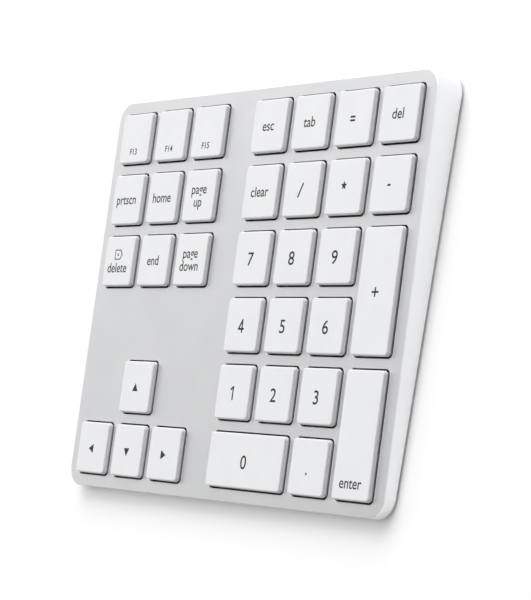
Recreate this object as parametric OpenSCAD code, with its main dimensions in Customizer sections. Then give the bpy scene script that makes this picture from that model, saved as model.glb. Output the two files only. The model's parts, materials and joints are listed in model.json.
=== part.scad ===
// Slim wireless numeric keypad: aluminium wedge case, scissor keys on a steel plate,
// switch membrane, circuit board and battery. Millimetres.
// "Plate frame": z = 0 is the case's top face, +y to the rear, x = y = 0 at its centre.
// "Row frame": the plate frame tipped forward by the wedge angle, standing on the feet at z = 0.

/* [Case] */
// Width of the case, left to right
case_w = 150; // [149:0.5:152]
// Depth of the case, front to rear, along its top face
case_d = 118.2; // [117.5:0.1:119]
// Radius of the case's corners in plan
corner_r = 5.8; // [4:0.1:7]
// Thickness of the case at its front edge
front_h = 3.6; // [3.6:0.1:4]
// Thickness of the case at its rear edge
rear_h = 8.9; // [8.9:0.1:9.5]
// Thickness of the aluminium top plate
plate_t = 1.0; // [0.8:0.1:1.1]
// Thickness of the side walls
wall_t = 1.4; // [1.2:0.1:1.6]
// Thickness of the bottom cover
cover_t = 0.7; // [0.6:0.1:0.7]
// Height of the rubber feet below the underside
foot_h = 0.8; // [0.5:0.1:1.2]

/* [Keys] */
// Distance from key to key
pitch = 19; // [19:0.1:19.1]
// Side of the opening for a single key
opening = 16.3; // [16.2:0.1:16.4]
// Corner radius of an opening
opening_r = 1.6; // [1.4:0.1:1.8]
// Gap between a keycap and its opening
key_gap = 0.45; // [0.4:0.05:0.5]
// Height of a keycap above the top plate
cap_proud = 1.55; // [1.5:0.05:1.6]
// Thickness of a keycap's roof
cap_roof = 0.85; // [0.8:0.05:0.9]
// Thickness of a keycap's skirt
cap_wall = 0.8; // [0.7:0.05:0.8]
// Travel of a key
key_travel = 1.5; // [1.2:0.1:1.5]
// Gap that a fully pressed key leaves above the membrane
press_gap = 0.1; // [0.1:0.05:0.2]

/* [Mechanism] */
// Depth of the membrane's top below the top plate's face
membrane_depth = 2.15; // [2.15:0.01:2.2]
// Thickness of one membrane sheet
sheet_t = 0.1; // [0.08:0.01:0.1]
// Thickness of the steel key plate
steel_t = 0.35; // [0.3:0.05:0.35]
// Diameter of a lever's end bars
bar_d = 0.7; // [0.6:0.05:0.7]
// Diameter of the stabiliser wire
wire_d = 0.8; // [0.7:0.05:0.8]

/* [Inside] */
// Width of the battery
battery_w = 34; // [30:1:36]
// Depth of the battery
battery_d = 30; // [26:1:30]
// Thickness of the battery
battery_t = 2.5; // [2:0.1:2.5]
// Width of the circuit board
board_w = 58; // [58:1:62]
// Depth of the circuit board
board_d = 15.5; // [15:0.5:16]
// Thickness of the circuit board
board_t = 0.8; // [0.7:0.1:0.8]
// Diameter of a case screw's shank
screw_d = 1.6; // [1.4:0.1:1.6]
// Travel of the power switch
switch_travel = 2.4; // [2:0.1:2.4]

/* [Hidden] */
$fn = 48;

// Name, block (0 navigation, 1 numbers), column, row, columns wide, rows deep
KEYS = [
    ["f13", 0, 0, 0, 1, 1], ["f14", 0, 1, 0, 1, 1], ["f15", 0, 2, 0, 1, 1],
    ["print_screen", 0, 0, 1, 1, 1], ["home", 0, 1, 1, 1, 1], ["page_up", 0, 2, 1, 1, 1],
    ["forward_delete", 0, 0, 2, 1, 1], ["end", 0, 1, 2, 1, 1], ["page_down", 0, 2, 2, 1, 1],
    ["arrow_up", 0, 1, 4, 1, 1],
    ["arrow_left", 0, 0, 5, 1, 1], ["arrow_down", 0, 1, 5, 1, 1], ["arrow_right", 0, 2, 5, 1, 1],
    ["escape", 1, 0, 0, 1, 1], ["tab", 1, 1, 0, 1, 1], ["equals", 1, 2, 0, 1, 1], ["delete", 1, 3, 0, 1, 1],
    ["clear", 1, 0, 1, 1, 1], ["slash", 1, 1, 1, 1, 1], ["asterisk", 1, 2, 1, 1, 1], ["minus", 1, 3, 1, 1, 1],
    ["seven", 1, 0, 2, 1, 1], ["eight", 1, 1, 2, 1, 1], ["nine", 1, 2, 2, 1, 1], ["plus", 1, 3, 2, 1, 2],
    ["four", 1, 0, 3, 1, 1], ["five", 1, 1, 3, 1, 1], ["six", 1, 2, 3, 1, 1],
    ["one", 1, 0, 4, 1, 1], ["two", 1, 1, 4, 1, 1], ["three", 1, 2, 4, 1, 1], ["enter", 1, 3, 4, 1, 2],
    ["zero", 1, 0, 5, 2, 1], ["point", 1, 2, 5, 1, 1]
];
WIRED = ["zero", "plus", "enter"];

// Key grid
columns = 4;
rows = 6;
nav_columns = 3;
side_margin = 4.45;
block_x = [
    side_margin + opening / 2 - case_w / 2,
    case_w / 2 - side_margin - opening / 2 - (columns - 1) * pitch
];
rear_row_y = (rows - 1) * pitch / 2;
function key_x(key) = block_x[key[1]] + (key[2] + (key[4] - 1) / 2) * pitch;
function key_y(key) = rear_row_y - (key[3] + (key[5] - 1) / 2) * pitch;
function units(n) = (n - 1) * pitch;
function is_double(key) = key[4] + key[5] > 2;

// How far a cutting solid runs past the face that it opens
cut = 1;
// Gap between neighbouring pieces that don't touch
inner_gap = 0.1;

// Wedge
tilt = atan((rear_h - front_h) / case_d);
knob_out = 0.5;
switch_z = -5.6;
front_y = -case_d / 2 * cos(tilt);
rear_y = (case_d / 2 + knob_out) * cos(tilt) - switch_z * sin(tilt);
shift_y = -(front_y + rear_y) / 2;
lift_z = foot_h + case_d / 2 * sin(tilt) + front_h * cos(tilt);
function row_y(y, z) = shift_y + y * cos(tilt) - z * sin(tilt);
function row_z(y, z) = lift_z + y * sin(tilt) + z * cos(tilt);

// Layers below the top face
membrane_z = -membrane_depth;
steel_top = membrane_z - 3 * sheet_t;
steel_bottom = steel_top - steel_t;
sheet_margin = 2.2;
sheet_r = 3;
steel_margin = 1.8;
steel_r = 3.6;
slot_gap = 0.2;
slot_d = 0.6;
contact_r = 1.8;

// Keycaps
cap_skirt = membrane_depth - key_travel - press_gap;
roof_z = cap_proud - cap_roof;
cap_chamfer = 0.3;

// Rubber feet, set a little into the cover
foot_w = 18;
foot_d = 6;
foot_x = 59;
foot_y = 49.5;
foot_set = 0.3;
foot_gap = 0.25;

// Screws, at the crossings of the webs between openings and in the free areas
boss_r = 1.6;
bore_gap = 0.03;
bore_end_z = -0.7;
screw_end_z = -0.8;
seat_z = steel_bottom - 0.5;
well_r = 1.6;
well_wall = 0.7;
head_r = 1.4;
head_h = 0.6;
recess_w = 1.4;
recess_t = 0.35;
web_x = [for (b = [0, 1]) [for (i = [0 : 2]) block_x[b] + (i + 0.5) * pitch]];
web_y = [for (i = [0 : 4]) rear_row_y - (i + 0.5) * pitch];
gap_x = (block_x[0] + (nav_columns - 1) * pitch + block_x[1]) / 2;
SCREWS = [
    [web_x[0][0], web_y[0]], [web_x[1][1], web_y[0]], [gap_x, web_y[1]], [web_x[1][1], web_y[2]],
    [block_x[0] + pitch, rear_row_y - 3 * pitch], [web_x[0][0], web_y[4]], [gap_x, web_y[4]],
    [web_x[1][1], web_y[4]]
];

// Scissor: bars at half-reach from the middle, one end low on the plate and one end high under the cap
low_bar_z = membrane_z + inner_gap + bar_d / 2;
high_bar_z = roof_z - inner_gap - bar_d / 2;
pivot_z = (low_bar_z + high_bar_z) / 2;
lever_rise = high_bar_z - low_bar_z;
outer_reach = 5.4;
inner_reach = 4.3;
outer_half = 6.3;
inner_half = 5.2;
arm_w = 0.8;
pin_r = 0.25;
pin_clear = 0.05;
pin_boss_r = 0.6;
hook_t = 0.3;
hook_reach = 0.05;
outer_hook_x = 4.8;
inner_hook_x = 1.8;
hook_w = 1.2;
clip_drop = 1.05;
clip_half = 0.55;
clip_clear = 0.06;

// Stabiliser wire: a bar in the cap, two arms, and two tips in hooks on the plate
wire_r = wire_d / 2;
wire_bar_y = 6.4;
wire_bar_z = 0.2;
wire_half = 14.5;
wire_reach = 7.8;
wire_tip_z = low_bar_z;
wire_arm = norm([wire_reach, wire_bar_z - wire_tip_z]);
wire_angle = asin((wire_bar_z - wire_tip_z) / wire_arm);
wire_bend = 1.2;
wire_tip_x = 12.0;
wire_clip_x = 9.5;
wire_clip_w = 1.6;
wire_clip_front = 0.75;
wire_clip_rear = 0.6;
wire_hook_x = 12.7;
wire_hook_w = 0.8;
wire_hook_clear = 0.35;

// Silicone dome: a foot, a cone, a flat top and a plunger under it
dome_r = 3.3;
dome_foot_w = 0.3;
dome_foot_h = 0.3;
dome_top_r = 1.7;
dome_top_z = roof_z - 0.05;
dome_top_t = 0.55;
dome_wall = 0.3;
plunger_r = 0.8;
plunger_h = 0.55;

// Circuit board and what is on it
board_top = -3.9;
board_bottom = board_top - board_t;
board_x = -3;
board_rear = 57;
board_y = board_rear - board_d / 2;
usb_x = 8;
usb_z = -5.7;
usb_w = 8.94;
usb_h = 3.26;
usb_mouth_w = 8.34;
usb_mouth_h = 2.56;
usb_depth = 7.3;
usb_front = 58.8;
usb_tongue_w = 6.7;
usb_tongue_t = 0.7;
usb_tongue_set = 1.8;
usb_back_t = 0.5;
usb_gap = 0.3;
lens_x = 20;
lens_r = 0.7;
lens_length = 3;
lens_gap = 0.05;
switch_x = -22;
switch_w = 7;
switch_d = 3.4;
switch_drop = 1.1;
switch_wall = 0.6;
knob_w = 2.6;
knob_h = 1.4;
knob_d = 5.3;
knob_gap = 0.05;
knob_slot_h = 1.9;
knob_slot_gap = 0.4;
groove_w = 0.25;
groove_d = 0.2;
groove_pitch = 0.7;
knob_x = switch_x - switch_travel / 2;
module_x = -8;
module_y = 48;
module_w = 12;
module_d = 9;
module_t = 0.5;
can_margin = 0.7;
can_h = 1.4;
connector_w = 12;
connector_d = 3.6;
connector_h = 0.9;
connector_slot = 0.3;
connector_slot_d = 1.3;
pairing_x = 20;
pairing_y = 48.5;
pairing_tip = -6.4;
pairing_w = 4.2;
pairing_d = 3.2;
pairing_h = 1.1;
plunger_tip_r = 0.8;
button_r = 1.7;
button_flange_r = 2.3;
button_flange_t = 0.4;
post_r = 1.5;
post_head_h = 0.45;
stake_r = 0.65;
POSTS = [[-29, 46], [24, 52.5]];
tail_x = gap_x;
tail_w = 10;
tail_front = 36.5;
tail_rear = 43;
tail_flat = 2;
tail_slope = 3.2;
tail_end = 1.6;
battery_x = 13;
battery_y = 19;
battery_rear = battery_y + battery_d / 2;
seal_margin = 3;
seal_d = 2.3;
seal_t = 1;
seal_z = 0.4;
tape_t = 0.1;
tape_margin = 3;
lead_r = 0.4;
lead_bead = 0.08;
lead_run_z = board_bottom - lead_r - inner_gap;
LEAD_X = [22, 23.6];
LEAD = [
    [battery_rear + seal_d, -3.8], [battery_rear + 4.5, -4.1],
    [battery_rear + 6.5, lead_run_z], [battery_rear + 11, lead_run_z]
];

// Colours
aluminium = [0.85, 0.86, 0.87];
cover_grey = [0.8, 0.81, 0.82];
cap_white = [0.96, 0.96, 0.97];
nylon_white = [0.88, 0.88, 0.86];
steel = [0.62, 0.63, 0.65];
film = [0.78, 0.83, 0.8];
black_print = [0.05, 0.05, 0.06];
board_green = [0.1, 0.32, 0.2];
rubber_grey = [0.3, 0.31, 0.32];
connector_ivory = [0.93, 0.9, 0.82];
pouch_silver = [0.75, 0.76, 0.79];
tape_black = [0.2, 0.2, 0.2];
lead_red = [0.7, 0.15, 0.12];
switch_grey = [0.25, 0.25, 0.26];
button_white = [0.9, 0.9, 0.9];
lens_clear = [0.9, 0.95, 1];

// Helpers

// From the plate frame to the row frame
module on_plate() {
    translate([0, shift_y, lift_z]) rotate([tilt, 0, 0]) children();
}

module rounded(w, d, r) {
    square([w - 2 * r, d], center = true);
    square([w, d - 2 * r], center = true);
    for (sx = [-1, 1], sy = [-1, 1])
        translate([sx * (w / 2 - r), sy * (d / 2 - r)]) circle(r = r);
}

// A block between two heights, centred on x and y
module block(w, d, low, high) {
    translate([-w / 2, -d / 2, low]) cube([w, d, high - low]);
}

// A bar along x, centred
module bar_x(r, length) {
    rotate([0, 90, 0]) cylinder(r = r, h = length, center = true);
}

// Everything above the underside, which is "raise" higher than the case's own
module above_underside(raise) {
    intersection() {
        children();
        translate([0, case_d / 2, -rear_h + raise]) rotate([-tilt, 0, 0])
            translate([-case_w, -2 * case_d, 0]) cube([2 * case_w, 4 * case_d, 30]);
    }
}

module at_key(key) {
    translate([key_x(key), key_y(key), 0]) children();
}

// A tall key's mechanism is a wide key's, turned a quarter
module at_mechanism(key) {
    at_key(key) rotate([0, 0, key[5] > 1 ? 90 : 0]) children();
}

module at_every_key() {
    for (key = KEYS) at_mechanism(key) children();
}

module at_wired_keys() {
    for (key = KEYS) if (is_double(key)) at_mechanism(key) children();
}

// Case

module case_outline(inset) {
    rounded(case_w - 2 * inset, case_d - 2 * inset, corner_r - inset);
}

module key_openings() {
    for (key = KEYS)
        translate([key_x(key), key_y(key)])
            rounded(units(key[4]) + opening, units(key[5]) + opening, opening_r);
}

module top_case() {
    color(aluminium) on_plate() difference() {
        union() {
            case_shell();
            for (p = SCREWS) translate([p[0], p[1], steel_top])
                cylinder(r = boss_r, h = -steel_top - plate_t / 2);
        }
        translate([0, 0, -plate_t - cut]) linear_extrude(plate_t + 2 * cut) key_openings();
        for (p = SCREWS) translate([p[0], p[1], steel_top - cut])
            cylinder(r = screw_d / 2 + bore_gap, h = bore_end_z - steel_top + cut);
        rear_wall_cutouts();
    }
}

// The plate and its side walls, which end at the underside
module case_shell() {
    above_underside(0) difference() {
        translate([0, 0, -rear_h - cut]) linear_extrude(rear_h + cut) case_outline(0);
        translate([0, 0, -rear_h - 2 * cut]) linear_extrude(rear_h + 2 * cut - plate_t) case_outline(wall_t);
    }
}

module rear_wall_cutouts() {
    depth = 3 * wall_t;
    translate([usb_x, case_d / 2, usb_z]) rotate([90, 0, 0])
        linear_extrude(depth, center = true) stadium(usb_w + usb_gap, usb_h + usb_gap);
    translate([switch_x, case_d / 2, switch_z])
        block(knob_w + switch_travel + 2 * knob_slot_gap, depth, -knob_slot_h / 2, knob_slot_h / 2);
    translate([lens_x, case_d / 2, switch_z]) rotate([90, 0, 0])
        cylinder(r = lens_r + lens_gap, h = depth, center = true);
}

module stadium(w, h) {
    square([w - h, h], center = true);
    for (s = [-1, 1]) translate([s * (w - h) / 2, 0]) circle(r = h / 2);
}

module bottom_cover() {
    color(cover_grey) difference() {
        on_plate() difference() {
            union() {
                cover_sheet();
                above_underside(cover_t / 2) {
                    for (p = SCREWS) translate([p[0], p[1], -rear_h - cut])
                        cylinder(r = well_r + well_wall, h = rear_h + cut + steel_bottom);
                    for (p = POSTS) translate([p[0], p[1], 0]) board_post();
                }
            }
            for (p = SCREWS) translate([p[0], p[1], -rear_h - cut]) {
                cylinder(r = well_r, h = rear_h + cut + seat_z);
                cylinder(r = screw_d / 2 + inner_gap, h = 2 * rear_h);
            }
        }
        foot_places() foot(foot_gap, foot_h - cut, foot_set + cut);
        translate([pairing_x, row_y(pairing_y, pairing_tip), 0])
            cylinder(r = button_r + inner_gap, h = foot_h + 2 * cover_t);
    }
}

// The sheet that closes the case between its walls
module cover_sheet() {
    difference() {
        above_underside(0) translate([0, 0, -rear_h - cut]) linear_extrude(rear_h + cut)
            case_outline(wall_t + inner_gap);
        above_underside(cover_t) translate([0, 0, -rear_h - cut]) linear_extrude(rear_h + 2 * cut)
            case_outline(0);
    }
}

// A post under the board, a stake through it and the stake's melted head
module board_post() {
    translate([0, 0, -rear_h - cut]) cylinder(r = post_r, h = rear_h + cut + board_bottom);
    translate([0, 0, board_bottom - cut]) cylinder(r = stake_r, h = board_t + cut + post_head_h / 2);
    translate([0, 0, board_top]) cylinder(r = 2 * stake_r, h = post_head_h);
}

module foot_places() {
    for (sx = [-1, 1], sy = [-1, 1]) translate([sx * foot_x, sy * foot_y, 0]) children();
}

// A long foot with nearly half-round ends, grown all round for its pocket
module foot(grow, low, h) {
    w = foot_w + grow;
    d = foot_d + grow;
    translate([0, 0, low]) linear_extrude(h) rounded(w, d, 0.499 * d);
}

module rubber_feet() {
    color(rubber_grey) foot_places() foot(0, 0, foot_h + foot_set);
}

module case_screws() {
    color(steel) on_plate() for (p = SCREWS) translate([p[0], p[1], seat_z]) difference() {
        union() {
            translate([0, 0, -head_h]) cylinder(r = head_r, h = head_h);
            cylinder(r = screw_d / 2, h = screw_end_z - seat_z);
        }
        for (a = [0, 90]) rotate([0, 0, a]) block(recess_w, recess_t, -head_h - cut, recess_t - head_h);
    }
}

// Key plate and membrane

module sheet_outline() {
    difference() {
        rounded(case_w - 2 * sheet_margin, case_d - 2 * sheet_margin, sheet_r);
        for (p = SCREWS) translate(p) circle(r = boss_r + inner_gap);
    }
}

// The slots that let the plate's hooks through a membrane sheet
module hook_slots() {
    at_every_key() {
        hook_slot(0, -outer_reach - bar_d / 2 - inner_gap, 2 * outer_hook_x + hook_w);
        hook_slot(0, inner_reach + bar_d / 2 + inner_gap, 2 * inner_hook_x + hook_w);
    }
    at_wired_keys() for (s = [-1, 1])
        hook_slot(s * wire_hook_x, wire_bar_y - wire_reach - wire_r - wire_hook_clear, wire_hook_w);
}

// A slot round the stems of the hooks whose near face is at y
module hook_slot(x, y, w) {
    translate([x, y + sign(y) * hook_t / 2]) square([w + 2 * slot_gap, slot_d], center = true);
}

module sheet(z) {
    translate([0, 0, z]) linear_extrude(sheet_t) difference() {
        sheet_outline();
        hook_slots();
        children();
    }
}

// The top sheet is printed black above its circuit
module membrane_top() {
    color(black_print) on_plate() sheet(membrane_z - sheet_t);
}

// The spacer is open under each dome, where the two circuit sheets meet
module membrane_spacer() {
    color(film) on_plate() sheet(membrane_z - 2 * sheet_t) at_every_key() circle(r = contact_r);
}

module membrane_bottom() {
    color(film) on_plate() {
        sheet(steel_top) tail_window(tail_w + 2 * slot_gap);
        tail();
    }
}

module tail_window(w) {
    translate([tail_x - w / 2, tail_front]) square([w, tail_rear - tail_front]);
}

// The sheet's tail bends down through the key plate to the connector on the board
module tail() {
    low = board_top + connector_slot + sheet_t / 2;
    high = steel_top;
    bend = tail_front + tail_flat - slot_gap;
    end = tail_rear + tail_end;
    rotate([90, 0, 90]) translate([0, 0, tail_x - tail_w / 2]) linear_extrude(tail_w) polygon([
        [tail_front - slot_gap, high], [bend, high], [bend + tail_slope, low], [end, low],
        [end, low + sheet_t], [bend + tail_slope + sheet_t, low + sheet_t], [bend + sheet_t, high + sheet_t],
        [tail_front - slot_gap, high + sheet_t]
    ]);
}

// A hook over a bar: a stem behind it and a lip above it
module hook(bar_y, bar_z, r, side, clear, w) {
    near = bar_y + side * (r + clear);
    far = near + side * hook_t;
    tip = bar_y - side * (r - hook_reach);
    lip = bar_z + r + inner_gap;
    root = steel_top - steel_t / 2;
    translate([-w / 2, 0, 0]) rotate([90, 0, 90]) linear_extrude(w) polygon([
        [near, root], [far, root], [far, lip + hook_t], [tip, lip + hook_t], [tip, lip], [near, lip]
    ]);
}

module key_plate() {
    color(steel) on_plate() {
        translate([0, 0, steel_bottom]) linear_extrude(steel_t) difference() {
            rounded(case_w - 2 * steel_margin, case_d - 2 * steel_margin, steel_r);
            for (p = SCREWS) translate(p) circle(r = screw_d / 2 + inner_gap);
            tail_window(tail_w + 4 * slot_gap);
        }
        at_every_key() for (s = [-1, 1]) {
            translate([s * outer_hook_x, 0, 0])
                hook(-outer_reach, low_bar_z, bar_d / 2, -1, inner_gap, hook_w);
            translate([s * inner_hook_x, 0, 0])
                hook(inner_reach, low_bar_z, bar_d / 2, 1, inner_gap, hook_w);
        }
        at_wired_keys() for (s = [-1, 1]) translate([s * wire_hook_x, 0, 0])
            hook(wire_bar_y - wire_reach, wire_tip_z, wire_r, -1, wire_hook_clear, wire_hook_w);
    }
}

module rubber_domes() {
    color(nylon_white) on_plate() at_every_key() rotate_extrude() polygon([
        [dome_r - dome_foot_w, membrane_z], [dome_r, membrane_z], [dome_r, membrane_z + dome_foot_h],
        [dome_r - dome_foot_w, membrane_z + dome_foot_h], [dome_top_r, dome_top_z - dome_top_t],
        [dome_top_r, dome_top_z], [0, dome_top_z], [0, dome_top_z - dome_top_t - plunger_h],
        [plunger_r, dome_top_z - dome_top_t - plunger_h], [plunger_r, dome_top_z - dome_top_t],
        [dome_top_r - dome_wall, dome_top_z - dome_top_t]
    ]);
}

// Scissor levers

module lever(half, reach, turn) {
    length = norm([reach, lever_rise / 2]);
    rotate([turn * atan(lever_rise / 2 / reach), 0, 0]) {
        for (s = [-1, 1]) {
            translate([s * (half - arm_w / 2), 0, 0]) block(arm_w, 2 * length, -bar_d / 2, bar_d / 2);
            translate([0, s * length, 0]) bar_x(bar_d / 2, 2 * half);
        }
        children();
    }
}

module scissor_outer_levers() {
    color(nylon_white) on_plate() at_every_key() translate([0, 0, pivot_z]) difference() {
        lever(outer_half, outer_reach, 1) for (s = [-1, 1])
            translate([s * (outer_half - arm_w / 2), 0, 0]) bar_x(pin_boss_r, arm_w);
        bar_x(pin_r + pin_clear, 2 * outer_half + cut);
    }
}

module scissor_inner_levers() {
    color(nylon_white) on_plate() at_every_key() translate([0, 0, pivot_z])
        lever(inner_half, inner_reach, -1) for (s = [-1, 1])
            translate([s * (inner_half + outer_half - inner_gap) / 2, 0, 0])
                bar_x(pin_r, outer_half - inner_half - inner_gap);
}

// Keycaps

// A clip under the roof, open below, round a bar
module clip(x, bar_y, bar_z, r, w, front, rear) {
    bottom = roof_z - clip_drop;
    translate([x, bar_y, 0]) difference() {
        translate([-w / 2, -front, bottom]) cube([w, front + rear, clip_drop + inner_gap]);
        translate([0, 0, bar_z]) bar_x(r + clip_clear, w + cut);
        block(w + cut, 1.6 * r, bottom - cut, bar_z);
    }
}

module scissor_clip(x, bar_y) {
    clip(x, bar_y, high_bar_z, bar_d / 2, hook_w, clip_half, clip_half);
}

module wire_clip(x) {
    clip(x, wire_bar_y, wire_bar_z, wire_r, wire_clip_w, wire_clip_front, wire_clip_rear);
}

module keycap(key) {
    w = units(key[4]) + opening - 2 * key_gap;
    d = units(key[5]) + opening - 2 * key_gap;
    r = opening_r - key_gap;
    edge = cap_chamfer * sqrt(2);
    color(cap_white) on_plate() {
        at_key(key) difference() {
            translate([0, 0, -cap_skirt]) linear_extrude(cap_skirt + cap_proud) rounded(w, d, r);
            block(w - 2 * cap_wall, d - 2 * cap_wall, -cap_skirt - cut, roof_z);
            for (s = [-1, 1]) {
                translate([s * w / 2, 0, cap_proud]) rotate([0, 45, 0])
                    cube([edge, 2 * d, edge], center = true);
                translate([0, s * d / 2, cap_proud]) rotate([45, 0, 0])
                    cube([2 * w, edge, edge], center = true);
            }
        }
        at_mechanism(key) {
            for (s = [-1, 1]) {
                scissor_clip(s * outer_hook_x, outer_reach);
                scissor_clip(s * inner_hook_x, -inner_reach);
            }
            if (is_double(key)) for (s = [-1, 1]) wire_clip(s * wire_clip_x);
        }
    }
}

// Stabiliser wires

module wire_bend_piece() {
    rotate_extrude(angle = 90) translate([wire_bend, 0]) circle(r = wire_r);
}

module stabiliser(key) {
    color(steel) on_plate() at_mechanism(key)
        translate([0, wire_bar_y, wire_bar_z]) rotate([wire_angle, 0, 0]) {
        bar_x(wire_r, 2 * (wire_half - wire_bend));
        for (s = [0, 1]) mirror([s, 0, 0]) {
            translate([wire_half - wire_bend, -wire_bend, 0]) wire_bend_piece();
            translate([wire_half, -wire_bend, 0]) rotate([90, 0, 0])
                cylinder(r = wire_r, h = wire_arm - 2 * wire_bend);
            translate([wire_half - wire_bend, wire_bend - wire_arm, 0]) rotate([0, 0, -90]) wire_bend_piece();
            translate([wire_tip_x, -wire_arm, 0]) rotate([0, 90, 0])
                cylinder(r = wire_r, h = wire_half - wire_bend - wire_tip_x);
        }
    }
}

// Electronics

module main_board() {
    notch_d = 2 * (usb_depth - usb_front + board_rear + slot_gap);
    color(board_green) on_plate() difference() {
        translate([board_x, board_y, 0]) block(board_w, board_d, board_bottom, board_top);
        translate([usb_x, board_rear, 0])
            block(usb_w + 2 * slot_gap, notch_d, board_bottom - cut, board_top + cut);
        for (p = POSTS) translate([p[0], p[1], board_bottom - cut])
            cylinder(r = stake_r + inner_gap, h = board_t + 2 * cut);
    }
}

module wireless_module() {
    base = board_bottom - module_t;
    color(steel) on_plate() translate([module_x, module_y, 0]) {
        block(module_w, module_d, base, board_bottom);
        block(module_w - 2 * can_margin, module_d - 2 * can_margin, base - can_h, base);
    }
}

// The connector takes the membrane's tail in its front slot
module membrane_connector() {
    y = tail_rear + connector_d / 2 + 2 * slot_gap;
    slot_z = board_top + connector_slot;
    color(connector_ivory) on_plate() translate([tail_x, y, 0]) difference() {
        block(connector_w, connector_d, board_top, board_top + connector_h);
        translate([0, -connector_d / 2, 0])
            block(tail_w + inner_gap, 2 * connector_slot_d, slot_z, slot_z + 2 * sheet_t);
    }
}

module usb_c_port() {
    color(steel) on_plate() translate([usb_x, usb_front, usb_z]) rotate([90, 0, 0]) {
        difference() {
            linear_extrude(usb_depth) stadium(usb_w, usb_h);
            translate([0, 0, -usb_back_t]) linear_extrude(usb_depth) stadium(usb_mouth_w, usb_mouth_h);
        }
        translate([-usb_tongue_w / 2, -usb_tongue_t / 2, usb_tongue_set])
            cube([usb_tongue_w, usb_tongue_t, usb_depth - usb_tongue_set - usb_back_t / 2]);
    }
}

// A pouch with a sealed flap along its rear edge
module battery() {
    top = steel_bottom - tape_t;
    color(pouch_silver) on_plate() translate([battery_x, battery_y, 0]) {
        block(battery_w, battery_d, top - battery_t, top);
        translate([0, (battery_d + seal_d - inner_gap) / 2, 0])
            block(battery_w - 2 * seal_margin, seal_d + inner_gap, top - seal_z - seal_t, top - seal_z);
    }
}

module battery_tape() {
    color(tape_black) on_plate() translate([battery_x, battery_y, 0])
        block(battery_w - 2 * tape_margin, battery_d - 2 * tape_margin, steel_bottom - tape_t, steel_bottom);
}

// The two wires run straight between the lead's points, with a bead of slack at each bend
module battery_lead() {
    color(lead_red) on_plate() for (x = LEAD_X) {
        for (i = [0 : len(LEAD) - 2]) {
            step = LEAD[i + 1] - LEAD[i];
            translate([x, LEAD[i][0], LEAD[i][1]]) rotate([atan2(step[1], step[0]) - 90, 0, 0])
                cylinder(r = lead_r, h = norm(step));
        }
        for (i = [1 : len(LEAD) - 2]) translate([x, LEAD[i][0], LEAD[i][1]]) sphere(r = lead_r + lead_bead);
    }
}

module power_switch_housing() {
    slot_w = knob_w + switch_travel + 4 * knob_gap;
    slot_h = knob_h / 2 + knob_gap;
    color(switch_grey) on_plate() translate([switch_x, board_rear - switch_d / 2, switch_z]) difference() {
        block(switch_w, switch_d, -switch_drop, board_bottom - switch_z);
        translate([0, switch_wall, 0]) block(slot_w, switch_d, -slot_h, slot_h);
    }
}

module power_switch_knob() {
    rear = case_d / 2 + knob_out;
    color(button_white) on_plate() translate([knob_x, rear, switch_z]) difference() {
        translate([0, -knob_d / 2, 0]) block(knob_w, knob_d, -knob_h / 2, knob_h / 2);
        for (i = [-1, 0, 1]) translate([i * groove_pitch, 0, 0])
            block(groove_w, 2 * groove_d, -knob_h, knob_h);
    }
}

module pairing_switch() {
    color(connector_ivory) on_plate() translate([pairing_x, pairing_y, 0]) {
        block(pairing_w, pairing_d, board_bottom - pairing_h, board_bottom);
        translate([0, 0, pairing_tip])
            cylinder(r = plunger_tip_r, h = board_bottom - pairing_tip - pairing_h / 2);
    }
}

module pairing_button() {
    bottom = foot_h + inner_gap;
    tip = row_z(pairing_y, pairing_tip) - 1.5 * inner_gap;
    color(button_white) translate([pairing_x, row_y(pairing_y, pairing_tip), 0]) {
        translate([0, 0, bottom]) cylinder(r = button_r, h = tip - bottom);
        translate([0, 0, foot_h + cover_t + inner_gap / 2])
            cylinder(r = button_flange_r, h = button_flange_t);
    }
}

module status_lens() {
    color(lens_clear) on_plate() translate([lens_x, case_d / 2 - inner_gap, switch_z]) rotate([90, 0, 0])
        cylinder(r = lens_r, h = lens_length);
}

top_case();
bottom_cover();
rubber_feet();
case_screws();
key_plate();
membrane_top();
membrane_spacer();
membrane_bottom();
rubber_domes();
scissor_outer_levers();
scissor_inner_levers();
main_board();
wireless_module();
membrane_connector();
usb_c_port();
battery();
battery_tape();
battery_lead();
power_switch_housing();
power_switch_knob();
pairing_switch();
pairing_button();
status_lens();
for (key = KEYS) {
    keycap(key);
    if (is_double(key)) stabiliser(key);
}
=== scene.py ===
"""The looks of a slim wireless numeric keypad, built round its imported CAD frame.

Two frames are used, both in millimetres until a piece is placed:
the plate frame has z = 0 on the case's top face, +y to the rear and its origin at the face's centre;
the row frame is the CAD's own, with z = 0 where the rubber feet stand.
"""

import json
import math

import bmesh
import bpy
from mathutils import Matrix, Vector, noise

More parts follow.
